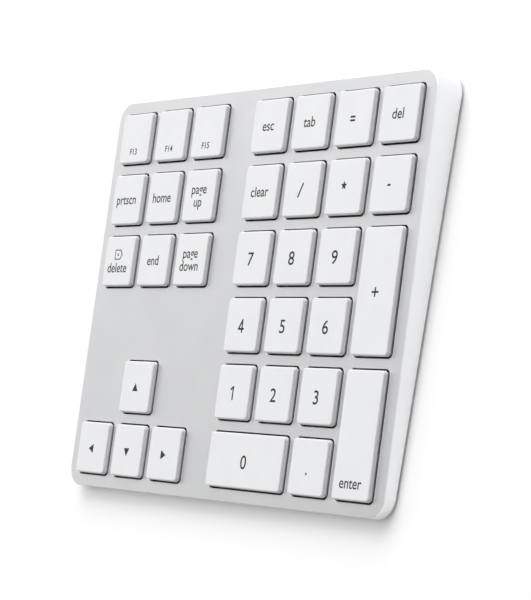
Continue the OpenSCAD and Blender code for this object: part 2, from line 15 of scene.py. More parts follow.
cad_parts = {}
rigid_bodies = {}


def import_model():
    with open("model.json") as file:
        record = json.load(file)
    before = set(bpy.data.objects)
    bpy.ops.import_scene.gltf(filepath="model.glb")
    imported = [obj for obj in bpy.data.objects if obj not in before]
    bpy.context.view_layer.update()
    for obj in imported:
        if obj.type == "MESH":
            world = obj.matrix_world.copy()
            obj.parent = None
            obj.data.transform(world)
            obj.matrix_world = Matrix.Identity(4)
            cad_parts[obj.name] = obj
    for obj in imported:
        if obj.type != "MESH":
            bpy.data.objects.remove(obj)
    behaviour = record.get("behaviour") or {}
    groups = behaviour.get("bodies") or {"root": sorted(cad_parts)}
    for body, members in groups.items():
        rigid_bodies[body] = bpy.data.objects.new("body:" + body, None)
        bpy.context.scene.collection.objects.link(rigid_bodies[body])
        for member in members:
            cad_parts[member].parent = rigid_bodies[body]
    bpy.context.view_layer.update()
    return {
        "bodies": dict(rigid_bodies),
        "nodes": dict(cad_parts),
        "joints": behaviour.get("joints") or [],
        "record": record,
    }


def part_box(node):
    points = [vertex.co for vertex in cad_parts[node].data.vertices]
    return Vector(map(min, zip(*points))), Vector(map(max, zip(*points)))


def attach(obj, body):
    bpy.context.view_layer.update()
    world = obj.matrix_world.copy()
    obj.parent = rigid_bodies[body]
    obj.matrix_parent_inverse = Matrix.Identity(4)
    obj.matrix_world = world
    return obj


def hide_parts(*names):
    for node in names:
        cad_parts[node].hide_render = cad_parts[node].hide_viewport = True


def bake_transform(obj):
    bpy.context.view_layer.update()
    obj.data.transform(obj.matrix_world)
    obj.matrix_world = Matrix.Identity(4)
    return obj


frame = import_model()

# ---------------------------------------------------------------- sizes, in millimetres

MM = 0.001
TAU = 2 * math.pi

CORNER_R = 5.8
PLATE_T = 1.0
WALL_T = 1.4
COVER_T = 0.7
COVER_GAP = 0.1
EDGE_R = 0.16
RIM_R = 0.3

CAP_GAP = 0.45
CAP_R = 1.15
CAP_WALL = 0.8
CAP_ROOF = 0.85
CAP_EDGE = 0.42
CAP_DRAFT = 0.1
CAP_STEP = 0.3
OPENING_R = CAP_R + CAP_GAP
OPENING_EDGE = 0.12

BAR_R = 0.35
ARM_W = 0.8
PIN_R = 0.25
PIN_HOLE_R = 0.3
PIVOT_R = 0.6
OUTER_X, OUTER_REACH, OUTER_HALF = 4.8, 5.4, 6.3
INNER_X, INNER_REACH, INNER_HALF = 1.8, 4.3, 5.2
HOOK_W = 1.2
CLIP_DROP = 1.05
CLIP_HALF = 0.55
CLIP_CLEAR = 0.06
WIRE_R = 0.4
WIRE_BAR_Y = 6.4
WIRE_CLIP_X = 9.5
WIRE_CLIP_W = 1.6

SCREW_R = 0.8
SEAT_DROP = 0.5
WELL_R = 1.6
WELL_WALL = 0.7
BOSS_R = 1.6

# ---------------------------------------------------------------- the frame

NODES = frame["nodes"]
KEYS = [body[4:] for body in frame["bodies"] if body.startswith("key_")]
ROW = Matrix.Scale(MM, 4)


def joint(name):
    return next(j for j in frame["joints"] if j["name"] == name)


def plate_matrix():
    """From the plate frame in millimetres to the row frame in metres."""
    up = Vector(joint("press_" + KEYS[0])["axis"]).normalized()
    right = Vector((1, 0, 0))
    rear = up.cross(right)
    case = [v.co for v in NODES["top_case"].data.vertices]
    depths = [rear.dot(p) for p in case]
    origin = up * max(up.dot(p) for p in case) + rear * (min(depths) + max(depths)) / 2
    axes = Matrix((right, rear, up)).transposed().to_4x4()
    return Matrix.Translation(origin) @ axes @ ROW


PLATE = plate_matrix()


def corners(points):
    return (
        Vector([min(p[i] for p in points) for i in range(3)]),
        Vector([max(p[i] for p in points) for i in range(3)]),
    )


def box_in(place, node):
    """A node's lowest and highest corners in one of the two frames, in millimetres."""
    back = place.inverted()
    return corners([back @ v.co for v in NODES[node].data.vertices])


def solids_in(place, node):
    """The boxes of a node's separate solids, in one of the two frames."""
    bm = bmesh.new()
    bm.from_mesh(NODES[node].data)
    bm.transform(place.inverted())
    bmesh.ops.remove_doubles(bm, verts=bm.verts, dist=1e-4)
    left = set(bm.verts)
    boxes = []
    while left:
        island, edge = [], [left.pop()]
        while edge:
            vert = edge.pop()
            island.append(vert.co.copy())
            for link in vert.link_edges:
                other = link.other_vert(vert)
                if other in left:
                    left.remove(other)
                    edge.append(other)
        boxes.append(corners(island))
    bm.free()
    return sorted(boxes, key=lambda b: (round(b[0].y), round(b[0].x)))


CASE_LOW, CASE_HIGH = box_in(PLATE, "top_case")
CASE_W = CASE_HIGH.x - CASE_LOW.x
CASE_D = CASE_HIGH.y - CASE_LOW.y
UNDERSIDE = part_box("top_case")[0].z
STEEL_LOW = box_in(PLATE, "key_plate")[0].z
MEMBRANE_Z = box_in(PLATE, "membrane_top")[1].z
CAP_TOP = box_in(PLATE, "keycap_" + KEYS[0])[1].z
ROOF_Z = CAP_TOP - CAP_ROOF
LOW_BAR_Z = MEMBRANE_Z + 0.1 + BAR_R
HIGH_BAR_Z = ROOF_Z - 0.1 - BAR_R
PIVOT_Z = (LOW_BAR_Z + HIGH_BAR_Z) / 2


def under(raised):
    """The height of the underside, raised by some millimetres, as a function of x and y."""
    def height(_, y):
        row_z = UNDERSIDE + raised * MM - PLATE.translation.z - y * PLATE[2][1]
        return row_z / PLATE[2][2]
    return height


# ---------------------------------------------------------------- mesh making

def rounded(w, d, r, x=0.0, y=0.0, steps=8):
    """The outline of a rounded rectangle, anticlockwise."""
    points = []
    for corner, (sx, sy) in enumerate(((1, 1), (-1, 1), (-1, -1), (1, -1))):
        for i in range(steps + 1):
            angle = (corner + i / steps) * TAU / 4
            points.append((
                x + sx * (w / 2 - r) + r * math.cos(angle),
                y + sy * (d / 2 - r) + r * math.sin(angle),
            ))
    return points


def circle(r, x=0.0, y=0.0, steps=32):
    return [(x + r * math.cos(TAU * i / steps), y + r * math.sin(TAU * i / steps)) for i in range(steps)]


def ring(bm, outline, z):
    """An outline's vertices at a height, which may be a function of x and y."""
    return [bm.verts.new((x, y, z(x, y) if callable(z) else z)) for x, y in outline]


def bridge(bm, first, second):
    count = len(first)
    for i in range(count):
        j = (i + 1) % count
        bm.faces.new((first[i], first[j], second[j], second[i]))


def bridge_all(bm, rings):
    for first, second in zip(rings, rings[1:]):
        bridge(bm, first, second)


def skin(bm, rings, closed=(True, True)):
    """Joins rings in turn, and closes the first and last with a face where asked."""
    bridge_all(bm, rings)
    if closed[0]:
        bm.faces.new(rings[0])
    if closed[1]:
        bm.faces.new(rings[-1])


def fill(bm, rings):
    """A flat face between an outer ring and the rings of its holes."""
    edges = []
    for loop in rings:
        for a, b in zip(loop, loop[1:] + loop[:1]):
            edges.append(bm.edges.get((a, b)) or bm.edges.new((a, b)))
    bmesh.ops.triangle_fill(bm, edges=edges, use_beauty=True)


def arc(r, start, end, steps=5):
    """Points (across, up) on a quarter or other arc about the origin; angles are in quarter turns."""
    return [
        (r * math.cos(a * TAU / 4), r * math.sin(a * TAU / 4))
        for a in (start + (end - start) * i / steps for i in range(steps + 1))
    ]


def lathe(bm, profile, steps=32, place=Matrix()):
    """Turns a profile of (radius, height) points about z. A radius of 0 closes an end."""
    rings = []
    for r, z in profile:
        if r < 1e-6:
            rings.append([bm.verts.new(place @ Vector((0, 0, z)))])
        else:
            rings.append([bm.verts.new(place @ Vector((x, y, z))) for x, y in circle(r, steps=steps)])
    for first, second in zip(rings, rings[1:]):
        if len(first) == 1 or len(second) == 1:
            pole, loop = (first, second) if len(first) == 1 else (second, first)
            for i in range(steps):
                bm.faces.new((pole[0], loop[i], loop[(i + 1) % steps]))
        else:
            bridge(bm, first, second)


def prism(bm, outline, low, high, place=Matrix()):
    """An outline of (y, z) points, extruded along x."""
    rings = [[bm.verts.new(place @ Vector((x, y, z))) for y, z in outline] for x in (low, high)]
    skin(bm, rings)


def block(bm, low, high, place=Matrix()):
    outline = [(low[1], low[2]), (high[1], low[2]), (high[1], high[2]), (low[1], high[2])]
    prism(bm, outline, low[0], high[0], place)


def soften(bm, width, segments=2, angle=30):
    """Rounds every edge that is sharper than an angle in degrees."""
    bmesh.ops.recalc_face_normals(bm, faces=bm.faces)
    sharp = [
        e for e in bm.edges
        if len(e.link_faces) == 2 and e.calc_face_angle(0) > math.radians(angle)
    ]
    bmesh.ops.bevel(bm, geom=sharp, offset=width, segments=segments, profile=0.5, affect="EDGES")


def tube(bm, path, r, side, steps=12):
    """A round tube along a path, closed at both ends. The side direction is never along the path."""
    rings = []
    for i, point in enumerate(path):
        ahead = (path[min(i + 1, len(path) - 1)] - path[max(i - 1, 0)]).normalized()
        across = ahead.cross(side).normalized()
        other = ahead.cross(across)
        rings.append([
            bm.verts.new(point + r * (across * math.cos(a) + other * math.sin(a)))
            for a in (TAU * j / steps for j in range(steps))
        ])
    skin(bm, rings)


def finish_mesh(name, bm, place, sharp=38):
    bmesh.ops.recalc_face_normals(bm, faces=bm.faces)
    mesh = bpy.data.meshes.new(name)
    bm.to_mesh(mesh)
    bm.free()
    mesh.transform(place)
    mesh.shade_smooth()
    mesh.set_sharp_from_angle(angle=math.radians(sharp))
    return mesh


def new_object(name, data):
    obj = bpy.data.objects.new(name, data)
    bpy.context.scene.collection.objects.link(obj)
    return obj


def applied(obj):
    """An object's mesh with its modifiers applied."""
    depsgraph = bpy.context.evaluated_depsgraph_get()
    return bpy.data.meshes.new_from_object(obj.evaluated_get(depsgraph))


def add_object(name, mesh, material):
    obj = new_object(name, mesh)
    if not mesh.materials:
        mesh.materials.append(material)
    weighted = obj.modifiers.new("weighted_normals", "WEIGHTED_NORMAL")
    weighted.keep_sharp = True
    return obj


def place_piece(name, mesh, material, body, replaced=()):
    """Adds a finished mesh as a piece that rides on a body."""
    obj = add_object(name, mesh, material)
    if replaced:
        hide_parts(*replaced)
    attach(obj, body)


def bend_piece(name, mesh, material, replaced):
    """Adds a finished mesh in place of a CAD node, with its transform baked into the mesh and no body to ride
    on.
    """
    obj = add_object(name, mesh, material)
    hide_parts(replaced)
    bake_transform(obj)


# ---------------------------------------------------------------- materials

class Look:
    """A material with a Principled shader, and short ways to feed it from textures."""

    def __init__(self, name, color, roughness, metallic=0.0, **sockets):
        self.material = bpy.data.materials.new(name)
        self.material.use_nodes = True
        self.tree = self.material.node_tree
        self.shader = self.tree.nodes["Principled BSDF"]
        self.set("Base Color", (*color, 1.0))
        self.set("Roughness", roughness)
        self.set("Metallic", metallic)
        for socket, value in sockets.items():
            self.set(socket.replace("_", " "), value)
        self.coordinates = self.node("TexCoord").outputs["Object"]
        self.color = color

    def set(self, socket, value):
        self.shader.inputs[socket].default_value = value

    def link(self, output, socket):
        self.tree.links.new(output, socket)

    def node(self, kind, **inputs):
        """A new node with some inputs set; an underscore in an input's name stands for a space."""
        made = self.tree.nodes.new("ShaderNode" + kind)
        for socket, value in inputs.items():
            made.inputs[socket.replace("_", " ")].default_value = value
        return made

    def noise(self, per_mm, detail=3.0, roughness=0.5, stretch=(1, 1, 1)):
        """Noise of so many features a millimetre, and finer or coarser along each axis."""
        mapping = self.node("Mapping", Scale=[per_mm / MM * s for s in stretch])
        self.link(self.coordinates, mapping.inputs["Vector"])
        node = self.node("TexNoise", Scale=1.0, Detail=detail, Roughness=roughness)
        self.link(mapping.outputs["Vector"], node.inputs["Vector"])
        return node.outputs["Fac"]

    def ramp(self, output, low, high, start=0.35, end=0.65):
        """Maps an output between two numbers, clamped."""
        node = self.node("MapRange", From_Min=start, From_Max=end, To_Min=low, To_Max=high)
        self.link(output, node.inputs["Value"])
        return node.outputs["Result"]

    def vary_color(self, output, other, start=0.35, end=0.65):
        """Mixes the base colour with another one."""
        node = self.node("Mix")
        node.data_type = "RGBA"
        node.inputs["A"].default_value = (*self.color, 1.0)
        node.inputs["B"].default_value = (*other, 1.0)
        self.link(self.ramp(output, 0.0, 1.0, start, end), node.inputs["Factor"])
        self.link(node.outputs["Result"], self.shader.inputs["Base Color"])
        return self

    def vary_roughness(self, output, low, high):
        self.link(self.ramp(output, low, high), self.shader.inputs["Roughness"])
        return self

    def bump(self, output, depth_mm, strength=1.0):
        node = self.node("Bump", Strength=strength, Distance=depth_mm * MM)
        self.link(output, node.inputs["Height"])
        self.link(node.outputs["Normal"], self.shader.inputs["Normal"])
        return self


def plain_look(name, color, roughness, grain=4.0, depth=0.004, shade=0.93, **sockets):
    """A moulded, rolled or painted surface: slight mottling, uneven gloss and a fine grain."""
    look = Look(name, color, roughness, **sockets)
    look.vary_color(look.noise(0.25), tuple(shade * c for c in color))
    look.vary_roughness(look.noise(grain / 4), roughness * 0.88, min(1.0, roughness * 1.12))
    return look.bump(look.noise(grain), depth)


def blasted_aluminium():
    """Bead-blasted, anodised aluminium: tiny even craters, and a slight mottling of the tone."""
    look = Look("blasted_aluminium", (0.9, 0.905, 0.915), 0.42, metallic=1.0)
    look.vary_color(look.noise(0.06, detail=2.0), (0.875, 0.88, 0.89))
    look.vary_roughness(look.noise(1.5), 0.4, 0.46)
    return look.bump(look.noise(9.0, detail=1.0), 0.004, 0.5)


def cap_plastic():
    """Matte white plastic with a spark-eroded texture."""
    look = Look("cap_plastic", (0.83, 0.835, 0.845), 0.5)
    look.vary_color(look.noise(0.15, detail=2.0), (0.815, 0.82, 0.832))
    look.vary_roughness(look.noise(3.0), 0.44, 0.56)
    return look.bump(look.noise(14.0, detail=2.0), 0.003, 0.6)


def brushed(name, color, roughness, stretch=(0.05, 1, 1), grain=12.0):
    """Rolled or brushed metal with fine lines along one axis."""
    look = Look(name, color, roughness, metallic=1.0)
    look.vary_color(look.noise(0.1), tuple(0.9 * c for c in color))
    lines = look.noise(grain, stretch=stretch)
    look.vary_roughness(lines, roughness * 0.75, roughness * 1.25)
    return look.bump(lines, 0.003, 0.6)


def printed_film(name, film, ink, **sockets):
    """Polyester film with silver traces printed on a grid."""
    look = Look(name, film, 0.25, **sockets)
    wave = look.node("TexWave", Scale=0.35 / MM, Distortion=0.0)
    look.link(look.coordinates, wave.inputs["Vector"])
    look.vary_color(wave.outputs["Fac"], ink, 0.9, 0.94)
    look.vary_roughness(look.noise(0.5), 0.2, 0.32)
    return look.bump(wave.outputs["Fac"], 0.01, 0.3)


LOOKS = {
    "case_aluminium": blasted_aluminium(),
    "cap_plastic": cap_plastic(),
    "cover_plastic": plain_look("cover_plastic", (0.62, 0.63, 0.64), 0.5, grain=5.0, shade=0.98),
    "foot_rubber": plain_look("foot_rubber", (0.09, 0.093, 0.097), 0.75, grain=6.0, depth=0.01),
    "screw_steel": brushed("screw_steel", (0.55, 0.56, 0.58), 0.3, stretch=(1, 1, 0.1)),
    "plate_steel": brushed("plate_steel", (0.5, 0.51, 0.53), 0.35),
    # Black print on the membrane's top: partly the film's real print, partly painted shade that darkens the
    # gaps between the caps
    "membrane_black": plain_look("membrane_black", (0.012, 0.012, 0.013), 0.35, grain=2.0, depth=0.002),
    "membrane_film": printed_film("membrane_film", (0.6, 0.68, 0.64), (0.75, 0.76, 0.78)),
    "dome_silicone": plain_look(
        "dome_silicone", (0.75, 0.75, 0.73), 0.45, grain=3.0, Subsurface_Weight=0.3, Subsurface_Scale=0.5 * MM
    ),
    "lever_nylon": plain_look("lever_nylon", (0.78, 0.78, 0.75), 0.4, grain=5.0),
    "wire_steel": brushed("wire_steel", (0.6, 0.61, 0.63), 0.22, stretch=(0.1, 1, 1)),
    "board_laminate": plain_look(
        "board_laminate", (0.02, 0.11, 0.055), 0.3, grain=1.2, depth=0.006, shade=0.7
    ),
    "shield_metal": brushed("shield_metal", (0.7, 0.7, 0.71), 0.28),
    "connector_plastic": plain_look("connector_plastic", (0.78, 0.74, 0.64), 0.45),
    "port_metal": brushed("port_metal", (0.68, 0.68, 0.7), 0.2, stretch=(1, 0.05, 1)),
    "battery_foil": plain_look(
        "battery_foil", (0.62, 0.63, 0.66), 0.35, grain=1.0, depth=0.02, Metallic=0.8
    ),
    "tape_black": plain_look("tape_black", (0.02, 0.02, 0.02), 0.9, grain=3.0, depth=0.03),
    "lead_insulation": plain_look("lead_insulation", (0.45, 0.02, 0.015), 0.35),
    "switch_black": plain_look("switch_black", (0.02, 0.02, 0.022), 0.45),
    "knob_plastic": plain_look("knob_plastic", (0.7, 0.705, 0.715), 0.42, grain=6.0),
    "lens_clear": plain_look(
        "lens_clear", (0.93, 0.96, 1.0), 0.12, grain=2.0, depth=0.001, Transmission_Weight=0.9, IOR=1.49
    ),
}
INK = plain_look("legend_ink", (0.014, 0.014, 0.016), 0.55, grain=8.0)
GOLD = brushed("contact_gold", (0.85, 0.62, 0.25), 0.2)
AMBER = plain_look("amber_film", (0.62, 0.28, 0.03), 0.25, grain=2.0)
CERAMIC = plain_look("ceramic", (0.55, 0.42, 0.28), 0.45, grain=6.0)
SOLDER = plain_look("solder", (0.68, 0.69, 0.7), 0.25, grain=3.0, Metallic=0.9)


def look(slot):
    return LOOKS[slot].material


def add_piece(name, bm, slot, node=None, body="chassis", place=PLATE):
    """Adds a mesh in a slot's material, in place of a CAD node where one is named."""
    place_piece(name, finish_mesh(name, bm, place), look(slot), body, [node] if node else ())


def add_detail(name, bm, finish):
    """Adds a fixed mesh in a finish that no slot has."""
    place_piece(name, finish_mesh(name, bm, PLATE), finish.material, "chassis")


# ---------------------------------------------------------------- case

def profile_rings(bm, size, r, steps):
    """Rings of a rounded rectangle, each step being (inset, height)."""
    return [
        ring(bm, rounded(size[0] - 2 * inset, size[1] - 2 * inset, r - inset), z)
        for inset, z in steps
    ]


def opening_outline(key, grow):
    low, high = box_in(PLATE, "keycap_" + key)
    w, d = (high - low).xy + Vector((2, 2)) * (CAP_GAP + grow)
    x, y = ((low + high) / 2).xy
    return rounded(w, d, OPENING_R + grow, x, y, steps=6)


def case_piece():
    """The case's plate and walls, with rounded edges, key openings, bosses and openings in the rear wall."""
    bm = bmesh.new()
    size = (CASE_W, CASE_D)
    turn = arc(EDGE_R, 0, 1)
    outer = [(EDGE_R - across, up - EDGE_R) for across, up in turn]
    rim = [(RIM_R - across, under(RIM_R - up)) for across, up in arc(RIM_R, 1, 0)]
    walls = profile_rings(bm, size, CORNER_R, [*rim, (0, under(2 * RIM_R)), (0, -3 * EDGE_R), *outer])
    inside = profile_rings(
        bm, size, CORNER_R,
        [(WALL_T - 0.15, under(0)), (WALL_T, under(0.15)), (WALL_T, under(0.6)), (WALL_T, -PLATE_T)],
    )
    bridge_all(bm, walls)
    bridge(bm, walls[0], inside[0])
    bridge_all(bm, inside)
    top_holes, low_holes = [], []
    for key in KEYS:
        rings = [
            ring(bm, opening_outline(key, OPENING_EDGE - across), up - OPENING_EDGE)
            for across, up in arc(OPENING_EDGE, 1, 0, 3)
        ]
        rings.append(ring(bm, opening_outline(key, 0), -PLATE_T))
        bridge_all(bm, rings)
        top_holes.append(rings[0])
        low_holes.append(rings[-1])
    fill(bm, [walls[-1], *top_holes])
    fill(bm, [inside[-1], *low_holes])
    mesh = finish_mesh("top_case", bm, PLATE, sharp=50)
    return cut_rear_wall(mesh)


def stadium(w, h, steps=8):
    return rounded(w, h, h / 2 - 0.001, steps=steps)


def rear_cutters(bm):
    """Prisms through the rear wall for the port, the switch knob and the light."""
    low, high = CASE_D / 2 - 2 * WALL_T, CASE_D / 2 + WALL_T
    port_low, port_high = box_in(PLATE, "usb_c_port")
    knob_low, knob_high = box_in(PLATE, "power_switch_knob")
    lens_low, lens_high = box_in(PLATE, "status_lens")
    travel = joint("power_slide")["range_m"][1] / MM
    cuts = [
        (port_low, port_high, 0.0, 0.3, 0.3),
        (knob_low, knob_high, travel, 0.8, 0.5),
        (lens_low, lens_high, 0.0, 0.1, 0.1),
    ]
    for a, b, extra, gap_x, gap_z in cuts:
        centre = (a + b) / 2
        w, h = b.x - a.x + extra + gap_x, b.z - a.z + gap_z
        outline = stadium(w, h) if extra == 0 else rounded(w, h, 0.3)
        rings = [
            [bm.verts.new((centre.x + extra / 2 + x, y, centre.z + z)) for x, z in outline]
            for y in (low, high)
        ]
        skin(bm, rings)
    bmesh.ops.recalc_face_normals(bm, faces=bm.faces)


def cut_away(mesh, cutter):
    """One mesh cut by another; both are used up."""
    target, tool = new_object("target", mesh), new_object("tool", cutter)
    modifier = target.modifiers.new("cut", "BOOLEAN")
    modifier.operation = "DIFFERENCE"
    modifier.object = tool
    modifier.solver = "EXACT"
    result = applied(target)
    result.name = mesh.name
    for obj in (target, tool):
        bpy.data.objects.remove(obj)
    return result


def cut_rear_wall(mesh):
    bm = bmesh.new()
    rear_cutters(bm)
    cutter = bpy.data.meshes.new("cutter")
    bm.to_mesh(cutter)
    bm.free()
    cutter.transform(PLATE)
    result = cut_away(mesh, cutter)
    bm = bmesh.new()
    bm.from_mesh(result)
    for low, high in solids_in(PLATE, "case_screws"):
        centre = (low + high) / 2
        top, bore = -PLATE_T / 2, SCREW_R + 0.03
        bottom = STEEL_LOW + 0.35
        profile = [
            (bore, bottom), (BOSS_R - 0.1, bottom), (BOSS_R, bottom + 0.1), (BOSS_R, top),
            (bore, top), (bore, bottom),
        ]
        lathe(bm, profile[:-1], 24, PLATE @ Matrix.Translation((centre.x, centre.y, 0)))
    bm.to_mesh(result)
    bm.free()
    result.shade_smooth()
    result.set_sharp_from_angle(angle=math.radians(50))
    return result


def make_case():
    slot = "case_aluminium"
    place_piece("top_case_shell", case_piece(), look(slot), "chassis", ["top_case"])


# ---------------------------------------------------------------- keycaps

def clip(bm, x, y, z, r, w, front, rear, place):
    """A clip under the roof: a block with a round hole that is open below."""
    bottom, top = ROOF_Z - CLIP_DROP, ROOF_Z + 0.05
    mouth = 0.8 * r
    hole = r + CLIP_CLEAR
    start = math.asin(mouth / hole)
    steps = 12
    turn = [start + (TAU - 2 * start) * i / steps for i in range(steps + 1)]
    outline = [(y - front, bottom), (y - mouth, bottom)]
    outline += [(y - hole * math.sin(a), z - hole * math.cos(a)) for a in turn]
    outline += [(y + mouth, bottom), (y + rear, bottom), (y + rear, top), (y - front, top)]
    prism(bm, outline, x - w / 2, x + w / 2, place)


def is_double(size):
    return max(size.x, size.y) > 1.5 * min(size.x, size.y)


def mechanism_place(key):
    """Where a key's mechanism stands: a tall key's is a wide one's, turned a quarter."""
    low, high = box_in(PLATE, "keycap_" + key)
    size, centre = high - low, (low + high) / 2
    turn = TAU / 4 if size.y > 1.5 * size.x else 0
    return Matrix.Translation((centre.x, centre.y, 0)) @ Matrix.Rotation(turn, 4, "Z")


def keycap_mesh(key):
    low, high = box_in(PLATE, "keycap_" + key)
    size, centre = high - low, (low + high) / 2
    bm = bmesh.new()
    turn = [(CAP_DRAFT + CAP_EDGE - across, CAP_TOP - CAP_EDGE + up) for across, up in arc(CAP_EDGE, 0, 1, 6)]
    fillet = [(CAP_WALL + 0.2 - across, ROOF_Z - 0.2 + up) for across, up in arc(0.2, 1, 0, 3)]
    lip = [(CAP_WALL, low.z + 0.1), (CAP_WALL - 0.1, low.z), (CAP_STEP + 0.1, low.z), (CAP_STEP, low.z + 0.1)]
    step = [(CAP_STEP, 0.02), (0.1, 0.12), (0.0, 0.24)]
    steps = [*fillet, *lip, *step, *turn]
    rings = [
        ring(bm, rounded(size.x - 2 * inset, size.y - 2 * inset, max(CAP_R - inset, 0.15)), z)
        for inset, z in steps
    ]
    skin(bm, rings)
    bm.transform(Matrix.Translation((centre.x, centre.y, 0)))
    place = mechanism_place(key)
    for side in (-1, 1):
        clip(bm, side * OUTER_X, OUTER_REACH, HIGH_BAR_Z, BAR_R, HOOK_W, CLIP_HALF, CLIP_HALF, place)
        clip(bm, side * INNER_X, -INNER_REACH, HIGH_BAR_Z, BAR_R, HOOK_W, CLIP_HALF, CLIP_HALF, place)
        if is_double(size):
            clip(bm, side * WIRE_CLIP_X, WIRE_BAR_Y, 0.2, WIRE_R, WIRE_CLIP_W, 0.75, 0.6, place)
    return finish_mesh("cap_" + key, bm, PLATE, sharp=45)


def make_keycaps():
    for key in KEYS:
        mesh, slot = keycap_mesh(key), "cap_plastic"
        place_piece("cap_" + key, mesh, look(slot), "key_" + key, ["keycap_" + key])


# ---------------------------------------------------------------- legends

WORD, DIGIT, SMALL = 4.2, 5.4, 2.7
WORD_WIDTH, DIGIT_WIDTH = 1.0, 1.08
STROKE = 0.56
NUMBERS = ("zero", "one", "two", "three", "four", "five", "six", "seven", "eight", "nine")
WORDS = {
    "print_screen": "prtscn", "home": "home", "end": "end", "escape": "esc", "tab": "tab", "delete": "del",
    "clear": "clear",
}
# Each key's lines of text, with their size and their height above the cap's middle
LEGENDS = {
    **{name: [(str(value), DIGIT, 0)] for value, name in enumerate(NUMBERS)},
    **{key: [(word, WORD, 0)] for key, word in WORDS.items()},
    **{f"f{number}": [(f"F{number}", SMALL, -4.0)] for number in (13, 14, 15)},
    "page_up": [("page", WORD, 1.9), ("up", WORD, -1.9)],
    "page_down": [("page", WORD, 1.9), ("down", WORD, -1.9)],
    "forward_delete": [("delete", WORD, -2.0)],
    "enter": [("enter", WORD, -12.6)],
    "equals": [("=", DIGIT, 0)],
    "slash": [("/", DIGIT, 0)],
    "asterisk": [("*", DIGIT, 0.6)],
    "minus": [("-", DIGIT, 0)],
    "plus": [("+", DIGIT, 0)],
    "point": [(".", DIGIT, -1.5)],
}
ARROWS = {"arrow_up": 1, "arrow_left": 2, "arrow_down": 3, "arrow_right": 0}
INK_T = 0.012
BOLD = 0.035
# How far the print sits from the middle of a cap
PRINT_SHIFT = (-0.25, -0.35)
# Signs drawn as straight strokes between points
SIGNS = {
    "1": [((-0.72, 1.0), (0.3, 1.75)), ((0.3, 1.75), (0.3, -1.8))],
    "/": [((-0.85, -1.85), (0.85, 1.85))],
    ".": [((0, 0.08), (0, -0.08)), ((0.08, 0), (-0.08, 0))],
    "-": [((-0.4, 0), (0.4, 0))],
    "=": [((-0.8, 0.5), (0.8, 0.5)), ((-0.8, -0.5), (0.8, -0.5))],
    "4": [((1.15, -0.85), (-1.15, -0.85)), ((-1.15, -0.85), (0.45, 1.7)), ((0.45, 1.7), (0.45, -1.75))],
    "*": [((0, 0), (0.8 * math.sin(TAU * i / 5), 0.8 * math.cos(TAU * i / 5))) for i in range(5)],
}


def text_mesh(text, height, narrow):
    """The outline of a legend in the built-in font, centred on its x."""
    curve = bpy.data.curves.new("legend", "FONT")
    curve.body = text
    curve.size = height
    curve.align_x = "CENTER"
    curve.offset = BOLD
    curve.extrude = INK_T
    curve.resolution_u = 6
    obj = new_object("legend", curve)
    mesh = applied(obj)
    bpy.data.objects.remove(obj)
    mesh.transform(Matrix.Diagonal((narrow, 1, 1, 1)))
    return mesh


def add_strokes(bm, strokes, y):
    """Flat strokes with round ends."""
    for a, b in strokes:
        start, along = Vector(a), Vector(b) - Vector(a)
        turn = math.atan2(along.y, along.x)
        outline = rounded(along.length + STROKE, STROKE, STROKE / 2.01, along.length / 2, 0, steps=5)
        place = Matrix.Translation((start.x, start.y + y, CAP_TOP)) @ Matrix.Rotation(turn, 4, "Z")
        skin(bm, [[bm.verts.new(place @ Vector((px, py, z))) for px, py in outline] for z in (-INK_T, INK_T)])


def legend_mesh(key):
    bm = bmesh.new()
    for text, height, y in LEGENDS[key]:
        if text in SIGNS:
            add_strokes(bm, SIGNS[text], y)
            continue
        mesh = text_mesh(text, height, WORD_WIDTH if len(text) > 1 else DIGIT_WIDTH)
        low, high = corners([v.co for v in mesh.vertices])
        middle = 0.27 * height if len(text) > 1 else (low.y + high.y) / 2
        mesh.transform(Matrix.Translation((0, y - middle, CAP_TOP)))
        bm.from_mesh(mesh)
        bpy.data.meshes.remove(mesh)
    bmesh.ops.remove_doubles(bm, verts=bm.verts, dist=1e-4)
    return bm


def arrow_mesh(quarters):
    """A small solid triangle with its point a number of quarter turns from +x."""
    bm = bmesh.new()
    outline = [Vector((1.4, 0)), Vector((-1.0, 1.4)), Vector((-1.0, -1.4))]
    place = Matrix.Rotation(quarters * TAU / 4, 4, "Z")
    rings = [[bm.verts.new(place @ Vector((*p, CAP_TOP + z))) for p in outline] for z in (-INK_T, INK_T)]
    skin(bm, rings)
    return bm


def tag_outline(grow):
    """A tag that points right, with its corners cut."""
    w, h, point = 1.85 + grow, 1.4 + grow, 1.0
    return [(-w, -h), (w - point, -h), (w + 0.4 * grow, 0), (w - point, h), (-w, h)]


def add_tag(bm):
    """The forward-delete sign: the outline of a tag with a cross in it."""
    y = 2.3
    rings = [
        [bm.verts.new((px, py + y, CAP_TOP + z)) for px, py in tag_outline(grow)]
        for grow, z in ((0.15, -INK_T), (0.15, INK_T), (-0.15, INK_T), (-0.15, -INK_T))
    ]
    bridge_all(bm, [*rings, rings[0]])
    for turn in (1, -1):
        place = Matrix.Translation((-0.3, y, CAP_TOP)) @ Matrix.Rotation(turn * TAU / 8, 4, "Z")
        block(bm, (-0.5, -0.12, -INK_T), (0.5, 0.12, INK_T), place)


def make_legends():
    for key in KEYS:
        bm = arrow_mesh(ARROWS[key]) if key in ARROWS else legend_mesh(key)
        if key == "forward_delete":
            add_tag(bm)
        low, high = box_in(PLATE, "keycap_" + key)
        centre = (low + high) / 2
        place = PLATE @ Matrix.Translation((centre.x + PRINT_SHIFT[0], centre.y + PRINT_SHIFT[1], 0))
        place_piece("legend_" + key, finish_mesh("legend_" + key, bm, place), INK.material, "key_" + key)


# ---------------------------------------------------------------- bottom cover, feet and screws

